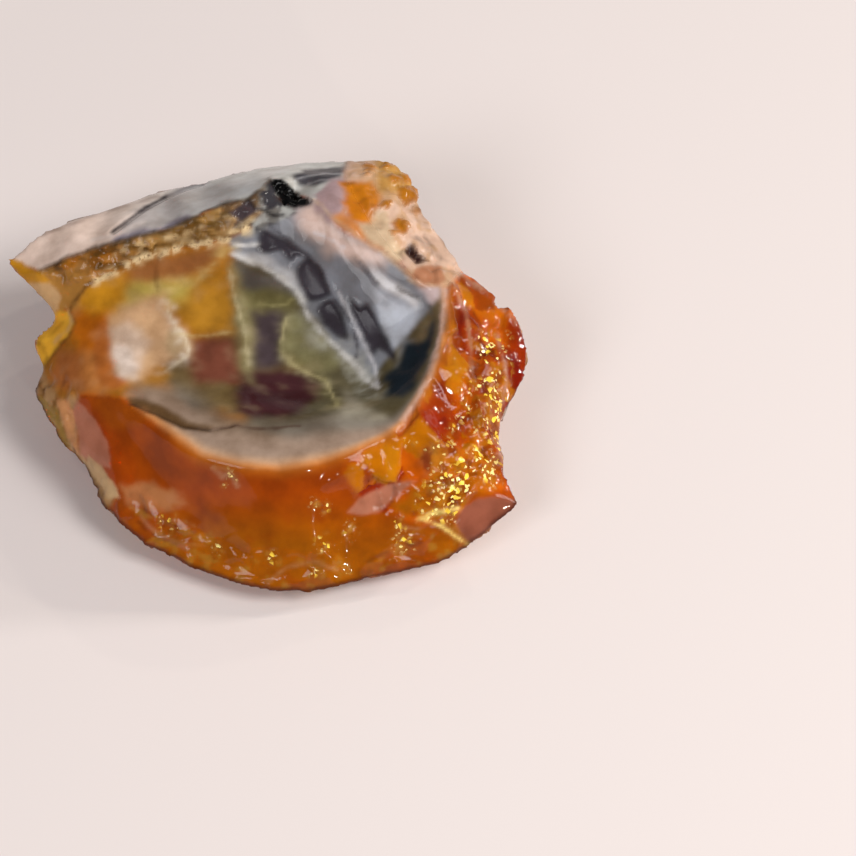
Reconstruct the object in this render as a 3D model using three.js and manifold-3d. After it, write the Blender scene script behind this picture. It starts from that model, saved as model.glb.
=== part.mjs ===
// A rough piece of Ethiopian opal: one broken chunk of a nodule, about 47 mm wide, lying on a flat break.
// Its upper side is a smooth hollow with a rounded rim, with a steep wall behind it and a ledge to the left.
// Round that lie an amber front wall, a splintered right flank, a crusted corner and a glassy back slope.
// Millimetres, +Z up. The origin is the centre of the bounding box's bottom face.

import * as THREE from "three";
import { ImprovedNoise } from "three/addons/math/ImprovedNoise.js";
import { mergeVertices } from "three/addons/utils/BufferGeometryUtils.js";
import Module from "manifold-3d";

const wasm = await Module();
wasm.setup();

// The upper side is drawn as it is seen from this far above the surface that the stone rests on.
const DRAWN_FROM = THREE.MathUtils.degToRad(52);

// Longest triangle edge on the upper side and on the underside.
const UPPER_EDGE = 1.36;
const UNDER_EDGE = 2.0;
// Longest edge inside the flat face it rests on.
const REST_EDGE = 7;

// Points of the upper side are [across, up, height]: across and up lie in the drawing's plane,
// and height is measured from the surface that the stone rests on.
const outline = [
  // left tip and the glassy back edge
  [-23.7, 10.4, 10], [-22.1, 11.8, 11], [-20.0, 13.3, 11.5], [-17.6, 14.2, 12], [-14.3, 15.2, 12],
  [-12.5, 15.9, 12], [-9.6, 16.9, 12], [-5.8, 17.8, 12], [-2.3, 18.7, 12.2], [1.1, 19.2, 12.5],
  [4.0, 19.5, 13], [8.0, 19.6, 14], [12.0, 19.5, 14.5],
  // crusted corner
  [12.2, 18.4, 14], [12.8, 18.1, 13.5], [13.3, 16.6, 13], [13.4, 15.6, 13], [14.4, 14.5, 13],
  [15.4, 13.2, 12.5], [16.6, 11.1, 12],
  // right flank
  [18.7, 8.5, 11], [20.3, 7.2, 10.5], [21.7, 5.8, 10], [22.7, 4.8, 9.5], [23.5, 3.0, 9],
  [23.7, 0.3, 8], [22.4, -2.0, 8], [21.4, -3.9, 7.5], [21.1, -6.3, 7], [21.4, -8.2, 6.5],
  [21.9, -10.2, 6], [22.9, -11.6, 5.5],
  // front foot
  [21.1, -13.0, 4.5], [19.2, -14.8, 3.5], [16.6, -16.7, 2.5], [13.0, -17.6, 2], [8.0, -18.6, 2],
  [4.4, -19.7, 1.8], [-0.3, -19.3, 1.8], [-4.1, -18.2, 1.8], [-6.9, -17.2, 2], [-9.8, -15.8, 2.2],
  [-12.4, -14.1, 2.6], [-14.8, -11.5, 3], [-15.5, -9.4, 3.4], [-16.8, -7.5, 4], [-18.5, -6.2, 4.4],
  [-20.2, -3.0, 5],
  // left edge with its two notches
  [-21.1, -1.5, 5.5], [-20.1, 0.5, 6.5], [-21.1, 2.2, 7], [-21.3, 3.3, 7.3], [-18.6, 5.2, 8.5],
  [-20.2, 6.6, 9], [-21.4, 8.1, 9.3], [-22.6, 9.0, 9.6],
];

// Sharp lines of the upper side, each a polyline. Lines that meet share a point.
const ridges = {
  crest: [
    [-23.7, 10.4, 10], [-20.6, 9.3, 11.2], [-18.1, 10.5, 12.8], [-15.7, 11.3, 13.9], [-12.1, 12.3, 15],
    [-8.3, 13.3, 15.8], [-5.8, 14.5, 16.3], [-3.7, 15.4, 16.7], [-1.6, 15.8, 16.8], [-0.2, 17.0, 17],
    [0.3, 17.7, 16.9],
  ],
  ledgeFoot: [
    [-20.6, 9.3, 11.2], [-19.3, 8.2, 10.2], [-15.5, 8.5, 11.9], [-11.0, 10.6, 13.3], [-8.4, 11.3, 13.9],
    [-3.6, 12.2, 14.6], [-1.4, 13.4, 15.2], [-0.2, 14.4, 15.9], [0.9, 15.8, 16.7],
  ],
  pit: [
    [0.3, 17.7, 16.9], [1.5, 17.9, 16.6], [4.3, 15.8, 16.9], [2.7, 14.8, 16.4], [0.9, 15.8, 16.7],
    [0.3, 17.7, 16.9],
  ],
  wallCrest: [
    [4.3, 15.8, 16.9], [5.9, 14.3, 16.8], [8.6, 12.2, 16.2], [10.9, 10.8, 15.6], [12.2, 9.8, 15.1],
    [13.7, 8.0, 14.2], [16.3, 7.9, 13.2],
  ],
  wallStep: [
    [2.7, 14.8, 16.4], [2.2, 12.9, 15.2], [3.1, 11.5, 14.1], [4.4, 10.0, 13.1], [5.5, 8.4, 12.1],
    [6.2, 6.6, 11.1], [7.3, 4.6, 10.1], [8.2, 2.7, 9.3],
  ],
  outerRim: [
    [16.3, 7.9, 13.2], [16.4, 5.8, 13], [16.1, 3.1, 12.6], [15.2, 0.4, 12.3], [14.0, -2.0, 12],
    [12.4, -4.5, 11.8], [10.8, -5.6, 11.8], [8.5, -6.7, 11.8], [6.1, -7.6, 11.8], [3.9, -8.1, 11.8],
    [1.6, -8.4, 11.8], [-2.2, -8.1, 11.8], [-5.4, -7.3, 11.6], [-7.3, -6.4, 11.4], [-9.4, -4.9, 11.2],
    [-11.7, -3.5, 10.9], [-12.1, -2.2, 11.2],
  ],
  crustEdge: [
    [8.0, 19.6, 14], [7.2, 18.3, 15.6], [6.0, 16.4, 16.6], [5.9, 14.3, 16.8],
  ],
  flapEdge: [
    [-15.5, 8.5, 11.9], [-16.5, 7.6, 11.1], [-17.8, 5.8, 9.6], [-17.2, 4.7, 9.4], [-17.6, 3.6, 9.2],
    [-18.7, 2.5, 8.2], [-20.1, 0.5, 6.5],
  ],
  shoulder: [
    [-21.1, -1.5, 5.5], [-18.2, -2.2, 7.4], [-16.6, -1.6, 9.2], [-13.9, -1.7, 10.6], [-12.1, -2.2, 11.2],
  ],
  pinkFacet: [
    [-18.2, -2.2, 7.4], [-16.6, -3.0, 8.0], [-14.8, -4.3, 8.1], [-13.8, -6.2, 7.6], [-13.6, -8.3, 6.4],
    [-14.8, -7.8, 5.8], [-16.6, -6.2, 5.9], [-17.6, -4.0, 6.4], [-18.2, -2.2, 7.4],
  ],
  lowerBreak: [
    [-14.8, -11.5, 3], [-13.1, -10.5, 5], [-9.5, -11.7, 5.4], [-5.9, -14.1, 4.6], [-0.5, -16.3, 4.3],
    [4.9, -16.8, 4.3], [11.2, -15.6, 4.8], [16.6, -13.0, 6],
  ],
  lens: [
    [7.5, -12.3, 7], [9.9, -10.4, 8.4], [13.4, -9.4, 8.6], [11.8, -10.7, 7.6], [9.1, -12.4, 6.8],
    [7.5, -12.3, 7],
  ],
  tipFacet: [
    [16.6, -16.7, 2.5], [16.6, -13.0, 6], [17.6, -11.7, 6.6], [18.5, -10.7, 7], [20.6, -10.4, 6.6],
    [22.9, -11.6, 5.5],
  ],
  flankRidge: [
    [16.6, 11.1, 12], [16.9, 9.8, 12.5], [17.3, 7.8, 12.3], [18.0, 6.0, 11.8], [18.4, 3.1, 11.1],
    [18.5, 0.4, 10.4], [17.9, -2.2, 10.1], [17.0, -4.6, 9.9], [15.7, -6.3, 10.4], [14.4, -5.6, 11.2],
    [12.4, -4.5, 11.8],
  ],
  flankEdge: [
    [20.3, 7.2, 10.5], [20.8, 3.6, 9.9], [21.4, 1.3, 9.4], [21.7, -0.3, 9], [21.1, -3.1, 8.3],
    [21.4, -3.9, 7.5],
  ],
};

// Points inside the faces, which give a face its bow or hollow.
const bowlPoints = [
  // where the rim rounds over into the hollow
  [15.5, 4.0, 12.2], [14.7, 1.2, 11.6], [13.0, -1.0, 11.4], [10.8, -2.5, 11.5], [8.9, -3.3, 11.6],
  [6.7, -4.0, 11.7], [3.1, -4.7, 11.9], [0.6, -4.8, 11.9], [-2.0, -4.8, 11.9], [-4.9, -5.0, 11.8],
  [-6.9, -4.7, 11.6], [-9.4, -3.5, 11.3],
  // foot of the steep wall
  [-0.6, 10.0, 12.6], [1.3, 8.9, 11.6], [3.0, 7.1, 10.6], [3.9, 5.7, 9.9], [5.3, 3.9, 9.2],
  [6.6, 2.2, 8.8], [8.0, 0.9, 8.6], [9.4, -0.5, 8.8],
  // floor of the hollow
  [-9.5, 7.5, 12.2], [-13.0, 5.6, 11.0], [-13.6, 2.4, 10.4], [-10.0, 1.0, 9.8], [-6.0, 6.6, 10.9],
  [-6.5, -1.4, 9.6], [-1.5, 4.5, 9.5], [-2.5, 0.5, 8.8], [2.5, 2.0, 8.5], [3.0, -1.8, 9.0],
  [6.5, -1.2, 8.6], [-15.2, 3.2, 10.6], [-15.6, 0.6, 10.2],
  // the wall itself
  [0.4, 12.2, 14.6], [6.6, 10.9, 14.6], [8.6, 8.4, 13.3], [9.6, 6.2, 12.0],
  [12.2, 5.2, 11.0], [10.0, 3.4, 10.0], [11.8, 1.6, 9.8], [11.0, 0.0, 9.6],
];
const facePoints = [
  // floor of the pit
  [2.1, 16.5, 14.2],
  // glassy back slope
  [-17.5, 12.4, 13.0], [-12.8, 14.0, 14.2], [-7.8, 15.7, 15.0], [-3.0, 17.1, 15.4], [1.5, 18.5, 15.2],
  [4.7, 17.8, 16.0],
  // crusted corner
  [8.2, 16.0, 16.0], [10.4, 15.3, 15.6], [10.7, 17.6, 15.4], [9.9, 13.3, 15.7], [13.1, 12.2, 14.4],
  [14.8, 10.2, 13.6],
  // left flap and tip
  [-20.3, 7.9, 10.0], [-19.3, 3.3, 8.2], [-18.3, 0.2, 8.2],
  // rim and front wall
  [-3.0, -6.6, 12.3], [3.0, -6.5, 12.3], [-11.0, -6.6, 8.4], [-8.0, -9.6, 7.8], [-3.5, -11.5, 8.0],
  [1.0, -12.6, 7.9], [4.6, -11.0, 9.2], [9.0, -8.8, 10.4], [12.5, -12.8, 6.6], [-18.6, -4.4, 5.8],
  // right flank
  [19.6, -3.4, 9.3], [18.6, -7.6, 8.8], [16.0, -9.2, 8.8], [19.8, 5.4, 10.9], [20.2, 0.6, 10.1],
  [22.4, 2.2, 9.3],
];

// Two rings under the stone, [x, y, z] in plan coordinates, run the same way round as the outline.
const waist = [
  [-19, 5.5, 5], [-15, 10.5, 5.5], [-8, 14.5, 5.5], [0, 16, 6], [8, 16, 6.5], [13.5, 12.5, 6],
  [17.5, 6, 5.5], [20.5, 0, 4.5], [20, -7, 3], [19, -14.5, 1.8], [12, -20.5, 0.8], [4, -23, 0.7],
  [-4, -21.5, 0.7], [-11, -16.5, 1.2], [-16.5, -9, 2.4], [-18.5, -2, 3.6],
];
const restFace = [
  [-13, 2, 0], [-8, 8, 0], [0, 11, 0], [8, 10.5, 0], [13, 6, 0], [16, -1, 0],
  [15, -9, 0], [11, -16, 0], [3, -19.5, 0], [-6, -17, 0], [-12, -11, 0], [-14, -4, 0],
];
const restMiddle = [0.5, -5, 0];

// Shell-shaped scars on the hidden sides, in plan coordinates: each is a ball's dent of the given depth,
// deepest at the point that it lies over, on the side that it faces.
const scars = [
  // round the back
  { over: [-11.5, 12.5, 5], facing: [-0.6, 0.8, -0.15], radius: 20, depth: 2.4 },
  { over: [1, 16, 5.5], facing: [0.1, 1, -0.25], radius: 24, depth: 2.6 },
  { over: [12, 13.5, 6.5], facing: [0.6, 0.8, -0.1], radius: 16, depth: 2.2 },
  // right flank
  { over: [19.5, 0, 4], facing: [1, 0.3, -0.5], radius: 18, depth: 1.0 },
  { over: [19.5, -10, 2.6], facing: [0.9, -0.2, -0.7], radius: 16, depth: 1.0 },
  // left side and below the left tip
  { over: [-16.6, -4, 2.2], facing: [-0.6, -0.2, -0.9], radius: 15, depth: 0.6 },
  { over: [-17.5, 7, 3.5], facing: [-0.8, 0.4, -0.7], radius: 14, depth: 1.2 },
  // into the face it rests on
  { over: [1, -20.5, 0.3], facing: [0, -0.3, -1], radius: 14, depth: 0.4 },
  { over: [-13, -8, 0.5], facing: [-0.7, -0.2, -1], radius: 12, depth: 1.0 },
  { over: [5, 11, 0], facing: [0, 0.6, -1], radius: 14, depth: 0.9 },
];

// Small flat breaks: how far apart they lie, how far they tilt (radians), how fully they are flattened,
// and the most that a point may move. They fade out towards the outline.
const flankBreaks = { spacing: 3.2, tilt: 0.3, flatten: 0.7, most: 0.45 };
const crustBreaks = { spacing: 2.4, tilt: 0.4, flatten: 0.7, most: 0.4 };
const OUTLINE_FADE = 1.8;

// Roughness in millimetres: lumps on broken crust, and a slight waver on glassy breaks.
const LUMP_SIZE = 2.4;
const CRUST_LUMPS = 0.3;
const UNDER_LUMPS = 0.16;
const GLASS_WAVER = 0.06;

const NOISE_SEEDS = [17.3, 41.9, 73.1];

// How often the faces and the sharp lines are eased, and how far a point goes towards its neighbours' middle.
const HOLLOW_PASSES = 9;
const FACE_PASSES = 2;
const FACE_EASE = 0.6;
const RIDGE_PASSES = 2;
const RIDGE_EASE = 0.5;

// Points that aren't on the face it rests on stay this far above it.
const LEAST_CLEARANCE = 0.12;
// Cuts along a ball's edge for each millimetre of its radius.
const BALL_DETAIL = 0.55;
// Points closer together than this are one point, and corners of a ball closer than this are one corner.
const SAME_POINT = 0.01;
const SAME_CORNER = 1e-4;
// A surface that looks less than this towards the drawing counts as hidden.
const LEAST_FACING = 0.05;
// Corners of the first triangle, far outside the drawing.
const FAR_OUT = 1e4;

// The three parts of the upper side that aren't plain glassy breaks, as outlines in the drawing.
const hollow = [
  ...ridges.ledgeFoot.slice(2), ridges.wallStep[0], ...ridges.wallCrest, ...ridges.outerRim.slice(1),
  ...ridges.shoulder.slice(1, -1).toReversed(), ...ridges.flapEdge.toReversed(),
];
const flank = [
  ...ridges.outerRim.slice(0, 9), [5, -11], [16.6, -12.5], [21, -10], [26, -2], [24, 8], [17, 11], [14.8, 9],
];
const corner = [[8, 22], [5.9, 14.3], [8.6, 12.2], [12.2, 9.8], [15, 9], [18, 11], [16, 22]];

const sinView = Math.sin(DRAWN_FROM);
const cosView = Math.cos(DRAWN_FROM);

// Plan position of a drawn point.
function placed([across, up, height]) {
  return new THREE.Vector3(across, (up - height * cosView) / sinView, height);
}

// Where a plan position lies in the drawing.
function drawn(p) {
  return [p.x, p.y * sinView + p.z * cosView];
}

function insidePolygon([x, y], polygon) {
  let inside = false;
  polygon.forEach(([x1, y1], i) => {
    const [x2, y2] = polygon[(i + 1) % polygon.length];
    if (y1 > y !== y2 > y && x < ((x2 - x1) * (y - y1)) / (y2 - y1) + x1) inside = !inside;
  });
  return inside;
}

// Delaunay triangles of [x, y] points, made by adding one point at a time (Bowyer and Watson).
function delaunay(points) {
  const all = [...points, [-FAR_OUT, -FAR_OUT], [FAR_OUT, -FAR_OUT], [0, FAR_OUT]];
  const n = points.length;
  const circle = (a, b, c) => {
    const [ax, ay] = all[a];
    const [bx, by] = all[b];
    const [cx, cy] = all[c];
    const d = 2 * (ax * (by - cy) + bx * (cy - ay) + cx * (ay - by));
    const a2 = ax * ax + ay * ay;
    const b2 = bx * bx + by * by;
    const c2 = cx * cx + cy * cy;
    const x = (a2 * (by - cy) + b2 * (cy - ay) + c2 * (ay - by)) / d;
    const y = (a2 * (cx - bx) + b2 * (ax - cx) + c2 * (bx - ax)) / d;
    return { corners: [a, b, c], x, y, r2: (ax - x) ** 2 + (ay - y) ** 2 };
  };
  let triangles = [circle(n, n + 1, n + 2)];
  for (let p = 0; p < n; p++) {
    const [px, py] = all[p];
    const hit = triangles.filter((t) => (px - t.x) ** 2 + (py - t.y) ** 2 < t.r2);
    const edges = new Map();
    for (const { corners } of hit) {
      corners.forEach((a, i) => {
        const b = corners[(i + 1) % 3];
        if (edges.has(`${b},${a}`)) edges.delete(`${b},${a}`);
        else edges.set(`${a},${b}`, [a, b]);
      });
    }
    triangles = triangles.filter((t) => !hit.includes(t));
    for (const [a, b] of edges.values()) triangles.push(circle(a, b, p));
  }
  return triangles.map((t) => t.corners).filter((c) => c.every((i) => i < n));
}

// The stone as a list of points and triangles. held points keep their place when faces are smoothed,
// a face marked under lies below the outline, and halved edges have been cut in two.
const stone = { points: [], held: [], faces: [], halved: new Set() };

function addPoint(p, held) {
  const same = stone.points.findIndex((q) => q.distanceTo(p) < SAME_POINT);
  if (same >= 0) {
    stone.held[same] ||= held;
    return same;
  }
  stone.points.push(p);
  stone.held.push(held);
  return stone.points.length - 1;
}

function addUpperSide() {
  outline.forEach((p) => addPoint(placed(p), true));
  for (const line of Object.values(ridges)) line.forEach((p) => addPoint(placed(p), true));
  for (const p of [...bowlPoints, ...facePoints]) addPoint(placed(p), false);
  const flat = stone.points.map(drawn);
  for (const corners of delaunay(flat)) {
    const centre = [0, 1].map((k) => corners.reduce((sum, i) => sum + flat[i][k] / 3, 0));
    if (!insidePolygon(centre, outline)) continue;
    const [a, b, c] = corners.map((i) => flat[i]);
    const turn = (b[0] - a[0]) * (c[1] - a[1]) - (b[1] - a[1]) * (c[0] - a[0]);
    stone.faces.push({ corners: turn > 0 ? corners : corners.toReversed(), under: false });
  }
}

// Joins two rings that run the same way round, always by the shorter of the two next edges.
function joinRings(upper, lower) {
  const gap = (i, j) => {
    return stone.points[upper[i % upper.length]].distanceTo(stone.points[lower[j % lower.length]]);
  };
  let start = 0;
  lower.forEach((_, j) => {
    if (gap(0, j) < gap(0, start)) start = j;
  });
  let i = 0;
  let j = 0;
  while (i < upper.length || j < lower.length) {
    const a = upper[i % upper.length];
    const b = lower[(start + j) % lower.length];
    const upperIsNearer = gap(i + 1, start + j) < gap(i, start + j + 1);
    if (j >= lower.length || (i < upper.length && upperIsNearer)) {
      stone.faces.push({ corners: [a, upper[(i + 1) % upper.length], b], under: true });
      i++;
    } else {
      stone.faces.push({ corners: [a, lower[(start + j + 1) % lower.length], b], under: true });
      j++;
    }
  }
}

function addUnderside() {
  const ring = (points, held) => points.map((p) => addPoint(new THREE.Vector3(...p), held));
  const edge = outline.map((p) => addPoint(placed(p), true));
  const middle = ring(waist, false);
  const rest = ring(restFace, true);
  joinRings(edge, middle);
  joinRings(middle, rest);
  const [centre] = ring([restMiddle], true);
  rest.forEach((a, i) => {
    stone.faces.push({ corners: [a, rest[(i + 1) % rest.length], centre], under: true });
  });
}

const edgeKey = (a, b) => (a < b ? `${a},${b}` : `${b},${a}`);

function sharpEdges() {
  const keys = new Set();
  const chain = (line) => {
    const numbers = line.map((p) => addPoint(p, true));
    numbers.slice(1).forEach((b, i) => keys.add(edgeKey(numbers[i], b)));
  };
  chain([...outline, outline[0]].map(placed));
  Object.values(ridges).forEach((line) => chain(line.map(placed)));
  chain([...restFace, restFace[0]].map((p) => new THREE.Vector3(...p)));
  return keys;
}

// Halves every edge that is too long, until none is left.
function refine(sharp) {
  for (;;) {
    const middles = new Map();
    for (const { corners, under } of stone.faces) {
      corners.forEach((a, i) => {
        const b = corners[(i + 1) % 3];
        const key = edgeKey(a, b);
        const length = stone.points[a].distanceTo(stone.points[b]);
        const isSharp = sharp.has(key);
        const flat = stone.points[a].z === 0 && stone.points[b].z === 0;
        const longestUnder = flat && !isSharp ? REST_EDGE : UNDER_EDGE;
        if (middles.has(key) || length <= (under ? longestUnder : UPPER_EDGE)) return;
        stone.points.push(stone.points[a].clone().lerp(stone.points[b], 0.5));
        stone.held.push(isSharp || flat);
        const m = stone.points.length - 1;
        middles.set(key, m);
        stone.halved.add(key);
        if (isSharp) sharp.add(edgeKey(a, m)).add(edgeKey(m, b));
      });
    }
    if (!middles.size) return;
    stone.faces = stone.faces.flatMap(({ corners, under }) => {
      const mids = corners.map((a, i) => middles.get(edgeKey(a, corners[(i + 1) % 3])));
      return splitFace(corners, mids).map((made) => ({ corners: made, under }));
    });
  }
}

// A triangle cut at the middles of its long edges.
function splitFace(corners, mids) {
  const isCut = mids.map((m) => m !== undefined);
  const cuts = isCut.filter(Boolean).length;
  if (cuts === 0) return [corners];
  if (cuts === 3) {
    const [[a, b, c], [ab, bc, ca]] = [corners, mids];
    return [[a, ab, ca], [ab, b, bc], [ca, bc, c], [ab, bc, ca]];
  }
  const first = cuts === 1 ? isCut.indexOf(true) : (isCut.indexOf(false) + 1) % 3;
  const [a, b, c] = [0, 1, 2].map((k) => corners[(first + k) % 3]);
  const [ab, bc] = [mids[first], mids[(first + 1) % 3]];
  if (cuts === 1) return [[a, ab, c], [ab, b, c]];
  const short = stone.points[a].distanceTo(stone.points[bc]) < stone.points[c].distanceTo(stone.points[ab]);
  const rest = short ? [[a, ab, bc], [a, bc, c]] : [[a, ab, c], [ab, bc, c]];
  return [[ab, b, bc], ...rest];
}

function neighbours() {
  const around = stone.points.map(() => new Set());
  for (const { corners } of stone.faces) {
    corners.forEach((a, i) => around[a].add(corners[(i + 1) % 3]).add(corners[(i + 2) % 3]));
  }
  return around.map((set) => [...set]);
}

// Rounds the sharp lines off along their length, and keeps the points where they meet.
function easeRidges(sharp) {
  const along = stone.points.map(() => []);
  for (const key of sharp) {
    const [a, b] = key.split(",").map(Number);
    if (!stone.halved.has(key)) {
      along[a].push(b);
      along[b].push(a);
    }
  }
  for (let pass = 0; pass < RIDGE_PASSES; pass++) {
    const before = stone.points.map((p) => p.clone());
    along.forEach((ends, i) => {
      if (ends.length !== 2 || before[i].z === 0) return;
      const between = before[ends[0]].clone().lerp(before[ends[1]], 0.5);
      stone.points[i].lerp(between, RIDGE_EASE);
    });
  }
}

// Lets free points settle between the sharp lines: the hollow fully, the other faces a little.
function smooth(inBowl) {
  const around = neighbours();
  for (let pass = 0; pass < HOLLOW_PASSES; pass++) {
    const before = stone.points.map((p) => p.clone());
    stone.points.forEach((p, i) => {
      if (stone.held[i] || (!inBowl[i] && pass >= FACE_PASSES)) return;
      const mean = new THREE.Vector3();
      around[i].forEach((j) => mean.addScaledVector(before[j], 1 / around[i].length));
      p.lerp(mean, FACE_EASE);
    });
  }
}

// Takes the scars out of the closed stone, which leaves crisp ridges between them.
function chip(geometry) {
  const solid = (shape) => {
    const merged = mergeVertices(shape.deleteAttribute("normal").deleteAttribute("uv"), SAME_CORNER);
    return new wasm.Manifold(
      new wasm.Mesh({
        numProp: 3,
        vertProperties: merged.attributes.position.array,
        triVerts: new Uint32Array(merged.index.array),
      }),
    );
  };
  let body = solid(geometry);
  for (const { over, facing, radius, depth } of scars) {
    const ball = new THREE.IcosahedronGeometry(radius, Math.round(radius * BALL_DETAIL));
    const centre = new THREE.Vector3(...facing).setLength(radius - depth).add(new THREE.Vector3(...over));
    body = body.subtract(solid(ball.translate(centre.x, centre.y, centre.z)));
  }
  const mesh = body.getMesh();
  const chipped = new THREE.BufferGeometry();
  chipped.setAttribute("position", new THREE.BufferAttribute(mesh.vertProperties, 3));
  chipped.setIndex(new THREE.BufferAttribute(mesh.triVerts, 1));
  return chipped;
}

// Which kind of surface lies at a point that faces along normal.
function kindOf(p, normal) {
  if (p.z < SAME_POINT) return "rest";
  const [across, up] = drawn(p);
  const facing = normal.z * sinView - normal.y * cosView;
  if (facing < LEAST_FACING) return "under";
  if (insidePolygon([across, up], hollow)) return "hollow";
  if (insidePolygon([across, up], flank)) return "flank";
  if (insidePolygon([across, up], corner)) return "crust";
  return "glass";
}

// Flattens the surface round scattered seeds, each to its own slightly tilted plane.
function shatter(points, facing, kinds, kind, edge, { spacing, tilt, flatten, most }) {
  const seeds = [];
  const draw = () => THREE.MathUtils.seededRandom() - 0.5;
  points.forEach((p, i) => {
    if (kinds[i] !== kind || seeds.some((s) => s.at.distanceTo(p) < spacing)) return;
    const lean = new THREE.Vector3(draw(), draw(), draw()).multiplyScalar(2 * tilt);
    seeds.push({ at: p.clone(), normal: facing[i].clone().add(lean).normalize() });
  });
  points.forEach((p, i) => {
    if (kinds[i] !== kind) return;
    const near = seeds.reduce((best, s) => (s.at.distanceTo(p) < best.at.distanceTo(p) ? s : best));
    const inward = Math.min(1, Math.min(...edge.map((q) => q.distanceTo(p))) / OUTLINE_FADE);
    const off = flatten * p.clone().sub(near.at).dot(near.normal);
    p.addScaledVector(near.normal, -inward * THREE.MathUtils.clamp(off, -most, most));
  });
}

// Moves points by a noise field that depends on place alone, so that no edge opens.
function roughen(points, kinds) {
  const noise = new ImprovedNoise();
  const wander = (p, seed) => {
    const [x, y, z] = [p.x, p.y, p.z].map((v) => v / LUMP_SIZE + seed);
    return noise.noise(x, y, z) + 0.5 * noise.noise(2 * x, 2 * y, 2 * z);
  };
  const sizes = {
    hollow: 0,
    glass: GLASS_WAVER,
    flank: CRUST_LUMPS,
    crust: CRUST_LUMPS,
    under: UNDER_LUMPS,
  };
  points.forEach((p, i) => {
    if (kinds[i] === "rest") return;
    const [dx, dy, dz] = NOISE_SEEDS.map((s) => sizes[kinds[i]] * wander(p, s));
    p.add(new THREE.Vector3(dx, dy, dz));
    p.z = Math.max(p.z, LEAST_CLEARANCE);
  });
}

function makeStone() {
  addUpperSide();
  addUnderside();
  const sharp = sharpEdges();
  refine(sharp);
  easeRidges(sharp);
  const upper = new Set(stone.faces.filter((f) => !f.under).flatMap((f) => f.corners));
  smooth(stone.points.map((p, i) => upper.has(i) && insidePolygon(drawn(p), hollow)));
  const lower = new Set(stone.faces.filter((f) => f.under).flatMap((f) => f.corners));
  const edge = stone.points.filter((p, i) => upper.has(i) && lower.has(i));
  const whole = new THREE.BufferGeometry().setFromPoints(stone.points);
  whole.setIndex(stone.faces.flatMap((f) => f.corners));

  const geometry = chip(whole);
  geometry.computeVertexNormals();
  const { position, normal } = geometry.attributes;
  const numbers = [...Array(position.count).keys()];
  const points = numbers.map((i) => new THREE.Vector3().fromBufferAttribute(position, i));
  const facing = numbers.map((i) => new THREE.Vector3().fromBufferAttribute(normal, i));
  const kinds = points.map((p, i) => kindOf(p, facing[i]));
  shatter(points, facing, kinds, "flank", edge, flankBreaks);
  shatter(points, facing, kinds, "crust", edge, crustBreaks);
  roughen(points, kinds);
  geometry.setFromPoints(points);
  geometry.computeBoundingBox();
  const middle = geometry.boundingBox.getCenter(new THREE.Vector3());
  geometry.translate(-middle.x, -middle.y, -geometry.boundingBox.min.z);
  geometry.computeVertexNormals();
  return geometry;
}

const opal = new THREE.Mesh(
  makeStone(),
  new THREE.MeshStandardMaterial({ color: 0xb8651b, roughness: 0.12, metalness: 0 }),
);
opal.name = "rough_opal";

const group = new THREE.Group();
group.add(opal);

export default group;
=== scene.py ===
"""The looks of a rough Ethiopian opal: its fine surface, its zoned colours, a pale floor and soft light."""

import math

import bpy
import numpy as np
from mathutils import Matrix, Vector


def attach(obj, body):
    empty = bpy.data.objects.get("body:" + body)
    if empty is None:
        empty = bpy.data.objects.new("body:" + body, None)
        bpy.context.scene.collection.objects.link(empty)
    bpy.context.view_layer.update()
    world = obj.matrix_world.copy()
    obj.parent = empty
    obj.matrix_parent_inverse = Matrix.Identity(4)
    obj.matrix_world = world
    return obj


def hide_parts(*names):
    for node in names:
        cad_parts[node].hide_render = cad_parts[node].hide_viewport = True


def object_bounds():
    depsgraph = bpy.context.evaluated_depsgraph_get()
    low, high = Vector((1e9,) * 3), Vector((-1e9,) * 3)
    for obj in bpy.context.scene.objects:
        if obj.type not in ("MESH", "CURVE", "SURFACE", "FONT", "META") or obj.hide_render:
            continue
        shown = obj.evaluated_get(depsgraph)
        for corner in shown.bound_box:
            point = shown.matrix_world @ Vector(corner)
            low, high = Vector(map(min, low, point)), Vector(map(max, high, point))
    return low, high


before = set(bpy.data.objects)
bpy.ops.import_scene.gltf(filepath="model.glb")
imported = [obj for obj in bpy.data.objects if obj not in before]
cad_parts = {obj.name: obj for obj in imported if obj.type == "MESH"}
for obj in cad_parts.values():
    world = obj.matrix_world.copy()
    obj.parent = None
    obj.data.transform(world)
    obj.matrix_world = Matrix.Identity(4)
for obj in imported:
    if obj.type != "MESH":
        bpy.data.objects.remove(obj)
cad_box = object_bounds()

MM = 0.001

# The stone's zones are outlined in a drawing seen from DRAWN_FROM above the floor, in millimetres
# across and up, and DRAWN_ORIGIN is where the drawing's origin lies in the frame.
DRAWN_FROM = math.radians(52)
DRAWN_ORIGIN = np.array([0.005, 5.547, 0.0])
RIGHT = np.array([1.0, 0.0, 0.0])
UP = np.array([0.0, math.sin(DRAWN_FROM), math.cos(DRAWN_FROM)])
TOWARDS = np.array([0.0, -math.cos(DRAWN_FROM), math.sin(DRAWN_FROM)])

# Distances in the drawing are counted up to FAR, and TINY stands in for a length of zero in a division.
FAR = 6.0
TINY = 1e-9

# The picture: where its centre lies in the drawing, how wide it is, and how far before the drawing that is.
VIEW_CENTRE = (14.6, -4.8)
VIEW_WIDTH = 77.0
VIEW_DEPTH = 9.4
LENS = 250.0
SENSOR = 36.0

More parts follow.
